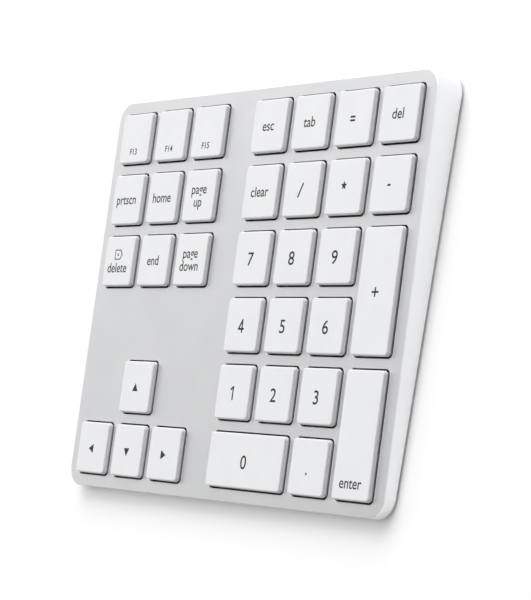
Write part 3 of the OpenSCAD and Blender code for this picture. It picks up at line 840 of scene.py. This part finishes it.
COVER_CHAMFER = 0.12
FOOT_SET = 0.3
FOOT_GAP = 0.25
BUTTON_R = 1.7
BUTTON_FLANGE_R = 2.3
BUTTON_FLANGE_T = 0.4
POST_R = 1.5
STAKE_R = 0.65
STAKE_HEAD_R = 1.3
STAKE_HEAD_H = 0.45
HEAD_R = 1.4
HEAD_H = 0.6
RECESS_W = 1.4
RECESS_T = 0.35
THREAD_PITCH = 0.4
THREAD_DEPTH = 0.16
POSTS = [(-29, 46), (24, 52.5)]


def middle_of(place, node):
    low, high = box_in(place, node)
    return (low + high) / 2


def rounds(bm, x, y, steps):
    """Circles of (radius, height) about a point, joined in turn. Returns the first and the last."""
    rings = [ring(bm, circle(r, x, y), z) for r, z in steps]
    bridge_all(bm, rings)
    return rings[0], rings[-1]


def screw_column(bm, x, y):
    """A well from below, its seat and bore, and the column round them."""
    seat, bore, outer = STEEL_LOW - SEAT_DROP, SCREW_R + 0.1, WELL_R + WELL_WALL
    return rounds(bm, x, y, [
        (WELL_R + COVER_CHAMFER, under(0)), (WELL_R, under(COVER_CHAMFER)), (WELL_R, seat), (bore, seat),
        (bore, STEEL_LOW), (outer - 0.1, STEEL_LOW), (outer, STEEL_LOW - 0.1), (outer, under(COVER_T + 0.3)),
        (outer + 0.3, under(COVER_T)),
    ])


def board_post(bm, x, y):
    """A post under the board, the stake through it and the stake's melted head."""
    board_low, board_high = (corner.z for corner in box_in(PLATE, "main_board"))
    foot, head = rounds(bm, x, y, [
        (POST_R + 0.4, under(COVER_T)), (POST_R, under(COVER_T + 0.4)),
        (POST_R, board_low), (STAKE_R, board_low),
        (STAKE_R, board_high), (STAKE_HEAD_R, board_high), (STAKE_HEAD_R - 0.1, board_high + 0.25),
        (STAKE_R, board_high + STAKE_HEAD_H),
    ])
    bm.faces.new(head)
    return foot


def foot_pocket(bm, low, high):
    (w, d), (x, y) = (high - low).xy + Vector((1, 1)) * FOOT_GAP, ((low + high) / 2).xy
    rings = [ring(bm, rounded(w, d, d / 2.01, x, y), under(raised)) for raised in (0, FOOT_SET)]
    skin(bm, rings, (False, True))
    return rings[0]


def make_cover():
    bm = bmesh.new()
    inset = WALL_T + COVER_GAP
    size = (CASE_W - 2 * inset, CASE_D - 2 * inset)
    edge = [(COVER_CHAMFER, under(0)), (0, under(COVER_CHAMFER)), (0, under(COVER_T))]
    rim = profile_rings(bm, size, CORNER_R - inset, edge)
    bridge_all(bm, rim)
    low_rings, high_rings = [rim[0]], [rim[-1]]
    for low, high in solids_in(PLATE, "case_screws"):
        well, column = screw_column(bm, *((low + high) / 2).xy)
        low_rings.append(well)
        high_rings.append(column)
    low_rings += [foot_pocket(bm, low, high) for low, high in solids_in(PLATE, "rubber_feet")]
    high_rings += [board_post(bm, x, y) for x, y in POSTS]
    button = middle_of(PLATE, "pairing_button")
    hole = rounds(bm, button.x, button.y, [(BUTTON_R + 0.1, under(0)), (BUTTON_R + 0.1, under(COVER_T))])
    fill(bm, [*low_rings, hole[0]])
    fill(bm, [*high_rings, hole[1]])
    add_piece("bottom_cover_shell", bm, "cover_plastic", "bottom_cover")


def make_feet():
    """Long soft pads with rounded edges and a shallow dish under each."""
    for number, (low, high) in enumerate(solids_in(ROW, "rubber_feet"), 1):
        (w, d, h), (x, y, _) = high - low, (low + high) / 2
        bm = bmesh.new()
        steps = [(1.1, 0.12), (0.85, 0.02), (0.5, 0), (0.2, 0.08), (0.05, 0.25), (0, 0.5), (0, h)]
        rings = []
        for inset, up in steps:
            across, along = d - 2 * inset, w - 2 * inset
            rings.append(ring(bm, rounded(along, across, across / 2.01, x, y, steps=12), low.z + up))
        skin(bm, rings)
        add_piece(f"foot_{number}", bm, "foot_rubber", "rubber_feet", place=ROW)


def cross_outline(w, t, x, y):
    """A plus sign of width w with arms t wide."""
    a, b = w / 2, t / 2
    outline = []
    for cos, sin in ((1, 0), (0, 1), (-1, 0), (0, -1)):
        for px, py in ((a, -b), (a, b), (b, b)):
            outline.append((x + px * cos - py * sin, y + px * sin + py * cos))
    return outline


def thread_rings(bm, x, y, low, high, steps=24, rows=8):
    """A helical thread that fades out at both ends."""
    count = round((high - low) / THREAD_PITCH * rows)
    rings = []
    for i in range(count + 1):
        z = low + (high - low) * i / count
        fade = min(1, i / rows, (count - i) / rows)
        loop = []
        for j in range(steps):
            angle = TAU * j / steps
            wave = (1 - math.cos(TAU * z / THREAD_PITCH - angle)) / 2
            r = SCREW_R - 0.02 - THREAD_DEPTH * (1 - wave * fade)
            loop.append(bm.verts.new((x + r * math.cos(angle), y + r * math.sin(angle), z)))
        rings.append(loop)
    return rings


def make_screws():
    for number, (low, high) in enumerate(solids_in(PLATE, "case_screws"), 1):
        x, y = ((low + high) / 2).xy
        bm = bmesh.new()
        recess = [
            ring(bm, cross_outline(RECESS_W - grow, RECESS_T - grow / 2, x, y), low.z + up)
            for grow, up in ((0, 0), (0.2, RECESS_T))
        ]
        skin(bm, recess, (False, True))
        head = [(HEAD_R - 0.25, 0), (HEAD_R - 0.08, 0.06), (HEAD_R, 0.2), (HEAD_R, HEAD_H)]
        rings = [ring(bm, circle(r, x, y, 24), low.z + up) for r, up in head]
        rings += thread_rings(bm, x, y, low.z + HEAD_H, high.z)
        skin(bm, rings, (False, True))
        fill(bm, [rings[0], recess[0]])
        add_piece(f"screw_{number}", bm, "screw_steel", "case_screws")


# ---------------------------------------------------------------- domes and scissors

DOME_R = 3.3
DOME_TOP_R = 1.7
DOME_TOP_T = 0.55
DOME_WALL = 0.3
PLUNGER_R = 0.8
PLUNGER_H = 0.55


def dome_mesh(key):
    """A silicone dome: a foot ring, a thin cone, a dished top and a plunger."""
    low, high = MEMBRANE_Z, ROOF_Z - 0.05
    shoulder, tip = high - DOME_TOP_T, high - DOME_TOP_T - PLUNGER_H
    profile = [
        (0, high - 0.12), (0.75, high - 0.1), (0.95, high), (DOME_TOP_R - 0.12, high),
        (DOME_TOP_R, high - 0.12), (DOME_TOP_R, shoulder), (DOME_TOP_R + 0.12, shoulder - 0.12),
        (DOME_R - 0.42, low + 0.42), (DOME_R - 0.3, low + 0.32), (DOME_R - 0.06, low + 0.3),
        (DOME_R, low + 0.24), (DOME_R, low), (DOME_R - DOME_WALL, low),
        (DOME_R - DOME_WALL - 0.4, low + 0.35),
        (DOME_TOP_R - DOME_WALL, shoulder - 0.12), (DOME_TOP_R - DOME_WALL - 0.12, shoulder),
        (PLUNGER_R, shoulder), (PLUNGER_R, tip + 0.1), (PLUNGER_R - 0.1, tip), (0, tip),
    ]
    bm = bmesh.new()
    lathe(bm, profile, 32, mechanism_place(key))
    return finish_mesh("dome_" + key, bm, PLATE)


def arm_outline(reach):
    """The side of a lever's arm in (y, z): round ends, and a round boss at the middle."""
    lift = math.asin(BAR_R / PIVOT_R) / (TAU / 4)
    ends = [
        (reach, BAR_R, -1, 1), (0, PIVOT_R, lift, 2 - lift),
        (-reach, BAR_R, 1, 3), (0, PIVOT_R, 2 + lift, 4 - lift),
    ]
    return [(y + dy, dz) for y, r, start, end in ends for dy, dz in arc(r, start, end, 8)]


def arm(bm, x, reach, place, holed):
    outlines = [arm_outline(reach)]
    if holed:
        outlines.append(circle(PIN_HOLE_R, steps=16))
    sides = []
    for px in (x - ARM_W / 2, x + ARM_W / 2):
        loops = [[bm.verts.new(place @ Vector((px, y, z))) for y, z in points] for points in outlines]
        fill(bm, loops)
        sides.append(loops)
    for first, second in zip(*sides):
        bridge(bm, first, second)


def lever_mesh(name, key, half, reach, turn, holed):
    """Two arms joined by two round bars. The inner lever carries the pins, the outer one the holes."""
    rise = HIGH_BAR_Z - LOW_BAR_Z
    length = math.hypot(reach, rise / 2)
    slope = turn * math.atan(rise / 2 / reach)
    place = mechanism_place(key) @ Matrix.Translation((0, 0, PIVOT_Z)) @ Matrix.Rotation(slope, 4, "X")
    bm = bmesh.new()
    inner = half - ARM_W + 0.05
    for side in (-1, 1):
        arm(bm, side * (half - ARM_W / 2), length, place, holed)
        bar = [place @ Vector((x, side * length, 0)) for x in (-inner, inner)]
        across = place.to_3x3() @ Vector((0, 1, 0))
        tube(bm, bar, BAR_R - 0.01, side=across)
        if not holed:
            pin = [place @ Vector((side * x, 0, 0)) for x in (half - 0.05, OUTER_HALF - 0.1)]
            tube(bm, pin, PIN_R, side=across)
    return finish_mesh(name + "_" + key, bm, PLATE)


def make_mechanisms():
    for key in KEYS:
        bend_piece("dome_" + key, dome_mesh(key), look("dome_silicone"), "rubber_domes")
        for name, half, reach, turn, holed, node in (
            ("lever_outer", OUTER_HALF, OUTER_REACH, 1, True, "scissor_outer_levers"),
            ("lever_inner", INNER_HALF, INNER_REACH, -1, False, "scissor_inner_levers"),
        ):
            mesh = lever_mesh(name, key, half, reach, turn, holed)
            bend_piece(f"{name}_{key}", mesh, look("lever_nylon"), node)


# ---------------------------------------------------------------- battery and its leads

SEAL_MARGIN = 3
SEAL_D = 2.3
SEAL_T = 0.35
LEAD_R = 0.4
BARE_R = 0.2
LEAD_X = (22, 23.6)
# The stretch of the pouch's flap that the amber band covers
BAND_X = (18, 27)
POUCH_R = 2.6
POUCH_EDGE = 1.25


def make_battery():
    """A foil pouch with soft edges, its sealed and folded flap, and an amber band over the tabs."""
    low, high = box_in(PLATE, "battery")
    x, rear = (low.x + high.x) / 2, high.y - SEAL_D
    w, d, h = high.x - low.x, rear - low.y, high.z - low.z
    y = (low.y + rear) / 2
    bm = bmesh.new()
    turn = [(POUCH_EDGE - across, up - POUCH_EDGE) for across, up in arc(POUCH_EDGE, 1, -1, 8)]
    steps = [(9, 0), (3, 0), *turn, (3, -h), (9, -h)]
    rings = []
    for inset, up in steps:
        loop = ring(bm, rounded(w - 2 * inset, d - 2 * inset, POUCH_R, x, y), high.z + up)
        for vert in loop:
            wrinkle = 0.06 * noise.noise(vert.co * 0.45) * (1 if 0.3 < inset < 5 else 0)
            vert.co.z += -abs(wrinkle) if up > -h / 2 else abs(wrinkle)
        rings.append(loop)
    skin(bm, rings)
    flap_z = high.z - 0.9
    half = w / 2 - SEAL_MARGIN
    block(bm, (x - half, rear - 0.6, flap_z - SEAL_T), (x + half, high.y, flap_z))
    add_piece("battery_pouch", bm, "battery_foil", "battery")
    bm = bmesh.new()
    band_low, band_high = flap_z - SEAL_T - 0.08, flap_z + 0.08
    block(bm, (BAND_X[0], rear - 0.4, band_low), (BAND_X[1], high.y - 0.05, band_high))
    soften(bm, 0.06)
    add_detail("battery_band", bm, AMBER)


def make_battery_tape():
    low, high = box_in(PLATE, "battery_tape")
    bm = bmesh.new()
    (w, d), (x, y) = (high - low).xy, ((low + high) / 2).xy
    steps = ((0.04, low.z), (0, low.z + 0.02), (0, high.z))
    skin(bm, [ring(bm, rounded(w - i, d - i, 0.8, x, y), z) for i, z in steps])
    add_piece("battery_pad", bm, "tape_black", "battery_tape")


def smooth_path(points, steps=8):
    """A curve through points (Catmull-Rom)."""
    ends = [2 * points[0] - points[1], *points, 2 * points[-1] - points[-2]]
    path = []
    for a, b, c, d in zip(ends, ends[1:], ends[2:], ends[3:]):
        for i in range(steps):
            t = i / steps
            square, cube = 2 * a - 5 * b + 4 * c - d, 3 * b - a - 3 * c + d
            path.append(0.5 * (2 * b + (c - a) * t + square * t ** 2 + cube * t ** 3))
    return [*path, points[-1]]


def make_leads():
    """Two insulated wires from the pouch's flap to solder pads under the board."""
    low, high = box_in(PLATE, "battery_lead")
    board_z = box_in(PLATE, "main_board")[0].z
    run_z = board_z - 0.1 - LEAD_R
    leads, joints = bmesh.new(), bmesh.new()
    across = Vector((1, 0, 0))
    route = [
        (low.y + 0.2, -3.8), (low.y + 2.2, -4.1), (low.y + 4.2, run_z + 0.05), (low.y + 6, run_z),
        (high.y - 0.9, run_z),
    ]
    for x in LEAD_X:
        tube(leads, smooth_path([Vector((x, y, z)) for y, z in route]), LEAD_R, side=across)
        bare = [Vector((x, high.y - end, run_z)) for end in (0.95, 0.2)]
        tube(joints, bare, BARE_R, side=across)
        drop = [(0, 0), (0.62, 0), (0.6, 0.12), (0.45, 0.4), (0.25, 0.62), (0, 0.68)]
        lathe(joints, [(r, -z) for r, z in drop], 16, Matrix.Translation((x, high.y - 0.55, board_z)))
    add_piece("battery_wires", leads, "lead_insulation", "battery_lead")
    add_detail("lead_joints", joints, SOLDER)


# ---------------------------------------------------------------- rear edge: port, switch, light and button

USB_WALL = 0.3
USB_BACK = 0.5
TONGUE_W, TONGUE_T, TONGUE_SET = 6.7, 0.7, 1.8
CONTACTS = 12
CONTACT_PITCH = 0.5
GROOVE_W, GROOVE_D, GROOVE_PITCH = 0.25, 0.2, 0.7


def outline_rings(bm, centre, steps):
    """Stadium rings in planes across y, each step being (inset, y)."""
    (cx, cz, w, h) = centre
    return [
        [bm.verts.new((cx + x, y, cz + z)) for x, z in stadium(w - 2 * inset, h - 2 * inset)]
        for inset, y in steps
    ]


def make_port():
    low, high = box_in(PLATE, "usb_c_port")
    centre = ((low.x + high.x) / 2, (low.z + high.z) / 2, high.x - low.x, high.z - low.z)
    bm = bmesh.new()
    skin(bm, outline_rings(bm, centre, [
        (0.25, low.y), (0.05, low.y + 0.08), (0, low.y + 0.3), (0, high.y - 0.1), (0.03, high.y - 0.03),
        (0.1, high.y), (0.2, high.y), (0.27, high.y - 0.03),
        (USB_WALL, high.y - 0.1), (USB_WALL, low.y + USB_BACK),
    ]))
    add_piece("port_shell", bm, "port_metal", "usb_c_port")
    x, z = centre[:2]
    bm = bmesh.new()
    front, back = high.y - TONGUE_SET, low.y + USB_BACK
    block(bm, (x - TONGUE_W / 2, back, z - TONGUE_T / 2), (x + TONGUE_W / 2, front, z + TONGUE_T / 2))
    block(bm, (x - TONGUE_W / 2 - 0.3, back, z - 1.1), (x + TONGUE_W / 2 + 0.3, back + 0.9, z + 1.1))
    soften(bm, 0.08)
    add_piece("port_tongue", bm, "switch_black")
    bm = bmesh.new()
    for i in range(CONTACTS):
        px = x + (i - (CONTACTS - 1) / 2) * CONTACT_PITCH
        for side in (-1, 1):
            top = z + side * (TONGUE_T / 2 + 0.02)
            block(bm, (px - 0.12, back + 1.0, min(z, top)), (px + 0.12, front - 0.4, max(z, top)))
    add_detail("port_contacts", bm, GOLD)


def make_knob():
    """A slide knob with finger grooves across its end."""
    low, high = box_in(PLATE, "power_switch_knob")
    x = (low.x + high.x) / 2
    outline = [(low.x, low.y), (high.x, low.y), (high.x, high.y)]
    for i in (1, 0, -1):
        groove = x + i * GROOVE_PITCH
        outline += [
            (groove + GROOVE_W / 2, high.y), (groove + GROOVE_W / 3, high.y - GROOVE_D),
            (groove - GROOVE_W / 3, high.y - GROOVE_D), (groove - GROOVE_W / 2, high.y),
        ]
    outline.append((low.x, high.y))
    bm = bmesh.new()
    skin(bm, [ring(bm, outline, z) for z in (low.z, high.z)])
    soften(bm, 0.05)
    add_piece("switch_knob", bm, "knob_plastic", "power_switch_knob", body="power_knob")


def make_lens():
    low, high = box_in(PLATE, "status_lens")
    r = (high.x - low.x) / 2
    face = ((low.x + high.x) / 2, high.y, (low.z + high.z) / 2)
    place = Matrix.Translation(face) @ Matrix.Rotation(TAU / 4, 4, "X")
    bm = bmesh.new()
    dome = [(r * math.sin(a), 0.25 * (1 - math.cos(a))) for a in (TAU / 4 * i / 5 for i in range(6))]
    lathe(bm, [*dome, (r, high.y - low.y - 0.1), (r - 0.1, high.y - low.y), (0, high.y - low.y)], 32, place)
    add_piece("light_guide", bm, "lens_clear", "status_lens")


def make_button():
    """The pairing button under the case: a dished face, and a flange that holds it in the cover."""
    low, high = box_in(ROW, "pairing_button")
    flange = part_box("bottom_cover")[0].z / MM + COVER_T + 0.05
    flange_top = flange + BUTTON_FLANGE_T
    profile = [
        (0, low.z + 0.14), (0.7, low.z + 0.1), (1.2, low.z + 0.01), (1.4, low.z),
        (BUTTON_R - 0.08, low.z + 0.06), (BUTTON_R, low.z + 0.2), (BUTTON_R, flange),
        (BUTTON_FLANGE_R, flange), (BUTTON_FLANGE_R, flange_top), (BUTTON_R, flange_top),
        (BUTTON_R, high.z - 0.15), (BUTTON_R - 0.15, high.z), (0, high.z),
    ]
    centre = (low + high) / 2
    bm = bmesh.new()
    lathe(bm, profile, 40, Matrix.Translation((centre.x, centre.y, 0)))
    add_piece("button_cap", bm, "knob_plastic", "pairing_button", body="pairing_button", place=ROW)


PAIRING_BODY_H = 1.1
PLUNGER_TIP_R = 0.8
PLUNGER_HOLE_R = 0.88


def make_pairing_switch():
    """A tactile switch under the board: its body, and the plunger that the pairing button pushes into it."""
    low, high = box_in(PLATE, "pairing_switch")
    (w, d), (x, y) = (high - low).xy, ((low + high) / 2).xy
    body_low, hole_top = high.z - PAIRING_BODY_H, high.z - 0.3
    bm = bmesh.new()
    outer = [
        ring(bm, rounded(w - i, d - i, 0.3, x, y, steps=4), z)
        for i, z in ((0, high.z), (0, body_low + 0.12), (0.24, body_low))
    ]
    skin(bm, outer, (True, False))
    hole = [ring(bm, circle(PLUNGER_HOLE_R, x, y, 24), z) for z in (body_low, hole_top)]
    skin(bm, hole, (False, True))
    fill(bm, [outer[-1], hole[0]])
    add_piece("tact_body", bm, "connector_plastic", "pairing_switch")
    bm = bmesh.new()
    profile = [(0, low.z), (PLUNGER_TIP_R - 0.15, low.z), (PLUNGER_TIP_R, low.z + 0.15)]
    profile += [(PLUNGER_TIP_R, hole_top - 0.35), (0, hole_top - 0.35)]
    lathe(bm, profile, 24, Matrix.Translation((x, y, 0)))
    add_piece("tact_plunger", bm, "switch_black", body="pairing_button")


# ---------------------------------------------------------------- circuit board

MODULE_T = 0.5
CAN_MARGIN = 0.7
CAN_EDGE = 0.25
PAD_PITCH = 1.2
PIN_PITCH, PIN_T = 0.65, 0.12
PIN_HALF_W, PIN_HALF_L = 0.13, 0.25
# The middle, width, depth and height of each chip on the board's top and underside
CHIPS = [(-20, 50.5, 5, 5, 0.75), (1, 47.6, 4, 4, 0.7), (16.5, 53.5, 3, 3, 0.6), (-25.5, 44, 3.2, 2.6, 0.65)]
LOW_CHIPS = [(5, 47, 4, 4, 0.8), (12.5, 47, 3, 3, 0.7), (-27, 50, 2.6, 2.6, 0.6)]
# Rows of small capacitors, by their middles
PASSIVES = [
    *[(-15 + 1.7 * i, 50.2) for i in range(8)], *[(-15 + 1.7 * i, 53) for i in range(6)],
    *[(5 + 1.6 * i, 43.6) for i in range(7)], *[(-27.5 + 1.6 * i, 55.2) for i in range(4)],
    *[(20 + 1.6 * i, 45) for i in range(3)],
]


def chip(bm, x, y, w, d, h, base, side):
    """A moulded package whose edges slope, on the side of a board that faces up (1) or down (-1)."""
    rings = [
        ring(bm, rounded(w - 2 * inset, d - 2 * inset, 0.12, x, y, steps=2), base + side * up)
        for inset, up in ((0.1, 0), (0, 0.25 * h), (0.08, 0.9 * h), (0.16, h))
    ]
    skin(bm, rings)


def chip_pins(bm, x, y, w, d, base, side):
    """Rows of flat leads along a package's four edges."""
    count = int(w / PIN_PITCH) - 1
    low, high = sorted((base, base + side * PIN_T))
    for i in range(count):
        off = (i - (count - 1) / 2) * PIN_PITCH
        for s in (-1, 1):
            pins = (
                (x + off, y + s * (d / 2 + 0.1), PIN_HALF_W, PIN_HALF_L),
                (x + s * (w / 2 + 0.1), y + off, PIN_HALF_L, PIN_HALF_W),
            )
            for px, py, hw, hd in pins:
                block(bm, (px - hw, py - hd, low), (px + hw, py + hd, high))


def make_board_parts():
    """Chips with pins, and ceramic capacitors with tinned ends, on both sides of the board."""
    low, high = box_in(PLATE, "main_board")
    chips, bodies, metal = bmesh.new(), bmesh.new(), bmesh.new()
    for places, base, side in ((CHIPS, high.z, 1), (LOW_CHIPS, low.z, -1)):
        for x, y, w, d, h in places:
            chip(chips, x, y, w, d, h, base, side)
            chip_pins(metal, x, y, w, d, base, side)
    for x, y in PASSIVES:
        block(bodies, (x - 0.3, y - 0.4, high.z), (x + 0.3, y + 0.4, high.z + 0.5))
        for s in (-1, 1):
            end = y + s * 0.55
            block(metal, (x - 0.33, end - 0.2, high.z), (x + 0.33, end + 0.2, high.z + 0.53))
    soften(chips, 0.03, 1)
    add_piece("board_chips", chips, "switch_black")
    add_detail("board_capacitors", bodies, CERAMIC)
    add_detail("board_terminals", metal, SOLDER)


def make_module():
    """The wireless module: a small board with plated edge pads under a drawn shield can."""
    low, high = box_in(PLATE, "wireless_module")
    (w, d), (x, y) = (high - low).xy, ((low + high) / 2).xy
    base = high.z - MODULE_T
    bm = bmesh.new()
    steps = ((0, high.z), (0, base + 0.05), (0.06, base))
    skin(bm, [ring(bm, rounded(w - i, d - i, 0.3, x, y, steps=3), z) for i, z in steps])
    add_piece("module_board", bm, "board_laminate")
    bm = bmesh.new()
    cw, cd = w - 2 * CAN_MARGIN, d - 2 * CAN_MARGIN
    turn = [(CAN_EDGE - across, low.z + CAN_EDGE - up) for across, up in arc(CAN_EDGE, 0, 1, 4)]
    skin(bm, [
        ring(bm, rounded(cw - 2 * inset, cd - 2 * inset, max(0.6 - inset, 0.3), x, y, 5), z)
        for inset, z in [(0, base), *turn, (2.2, low.z), (2.4, low.z + 0.08)]
    ])
    add_piece("module_shield", bm, "shield_metal", "wireless_module")
    bm = bmesh.new()
    for i in range(9):
        px = x + (i - 4) * PAD_PITCH
        for side in (-1, 1):
            edge = y + side * (d / 2 - 0.22)
            block(bm, (px - 0.3, edge - 0.2, base - 0.02), (px + 0.3, edge + 0.2, base + 0.1))
    add_detail("module_pads", bm, GOLD)


# ---------------------------------------------------------------- carried-over nodes

def dress_nodes():
    """Gives each CAD node that stays its material."""
    slots = {part["node"]: part["material_slot"] for part in frame["record"]["subparts"]}
    for name, obj in NODES.items():
        obj.data.materials.clear()
        obj.data.materials.append(look(slots[name]))


# ---------------------------------------------------------------- studio

CAMERA_AZIMUTH = 82.94
CAMERA_ELEVATION = 36.21
CAMERA_ROLL = 7.69
CAMERA_DISTANCE = 660.4
CAMERA_AIM = Vector((12.75, -2.24, 0))
CAMERA_LENS = 142.4
LIGHT_SIZE = 1.8
LIGHT_DISTANCE = 2.2
WORLD_STRENGTH = 0.08
# The direction towards each soft box, and its power in watts
LIGHTS = {
    "rear_light": ((0, 0.8, 0.6), 36.0),
    "left_rear_light": ((-0.6, 0.6, 0.5), 9.0),
    "right_rear_light": ((0.6, 0.6, 0.5), 5.0),
    "top_light": ((0, 0.1, 1), 22.0),
    "front_light": ((0, -0.8, 0.6), 6.0),
    "left_light": ((-0.95, 0, 0.3), 8.5),
}


def make_camera():
    """The camera looks at a point of the plate, with the plate's rear at the top of the picture."""
    azimuth, elevation = math.radians(CAMERA_AZIMUTH), math.radians(CAMERA_ELEVATION)
    flat = Vector((math.sin(azimuth), -math.cos(azimuth), 0))
    back = flat * math.cos(elevation) + Vector((0, 0, math.sin(elevation)))
    right = Vector((0, 1, 0)).cross(back).normalized()
    turned = Matrix.Rotation(math.radians(CAMERA_ROLL), 3, back)
    right = turned @ right
    up = back.cross(right)
    axes = Matrix((right, up, back)).transposed().to_4x4()
    data = bpy.data.cameras.new("camera")
    data.lens = CAMERA_LENS
    data.sensor_width = 36
    data.clip_start = 0.01
    camera = new_object("camera", data)
    place = PLATE @ Matrix.Translation(CAMERA_AIM + CAMERA_DISTANCE * back) @ axes
    camera.matrix_world = Matrix.LocRotScale(place.translation, place.to_quaternion(), None)
    bpy.context.scene.camera = camera


def make_floor():
    bm = bmesh.new()
    bmesh.ops.create_grid(bm, x_segments=4, y_segments=4, size=6)
    floor = new_object("floor", finish_mesh("floor", bm, Matrix()))
    paint = Look("floor_paint", (0.93, 0.93, 0.93), 0.8)
    paint.set("Emission Color", (1, 1, 1, 1))
    paint.set("Emission Strength", 0.06)
    floor.data.materials.append(paint.material)


def make_world():
    world = bpy.data.worlds.new("studio")
    bpy.context.scene.world = world
    world.use_nodes = True
    background = world.node_tree.nodes["Background"]
    background.inputs["Color"].default_value = (1, 1, 1, 1)
    background.inputs["Strength"].default_value = WORLD_STRENGTH


def make_light(name, direction, energy):
    """A square soft box that faces the keypad."""
    data = bpy.data.lights.new(name, "AREA")
    data.size = LIGHT_SIZE
    data.energy = energy
    obj = new_object(name, data)
    obj.location = Vector(direction).normalized() * LIGHT_DISTANCE
    obj.rotation_mode = "QUATERNION"
    obj.rotation_quaternion = Vector(direction).to_track_quat("Z", "Y")


def make_studio():
    make_camera()
    make_floor()
    make_world()
    for name, (direction, energy) in LIGHTS.items():
        make_light(name, direction, energy)
    bpy.context.scene.view_settings.view_transform = "Standard"


# ---------------------------------------------------------------- the scene

make_studio()
dress_nodes()
make_case()
make_keycaps()
make_legends()
make_cover()
make_feet()
make_screws()
make_mechanisms()
make_battery()
make_battery_tape()
make_leads()
make_port()
make_knob()
make_lens()
make_button()
make_pairing_switch()
make_board_parts()
make_module()
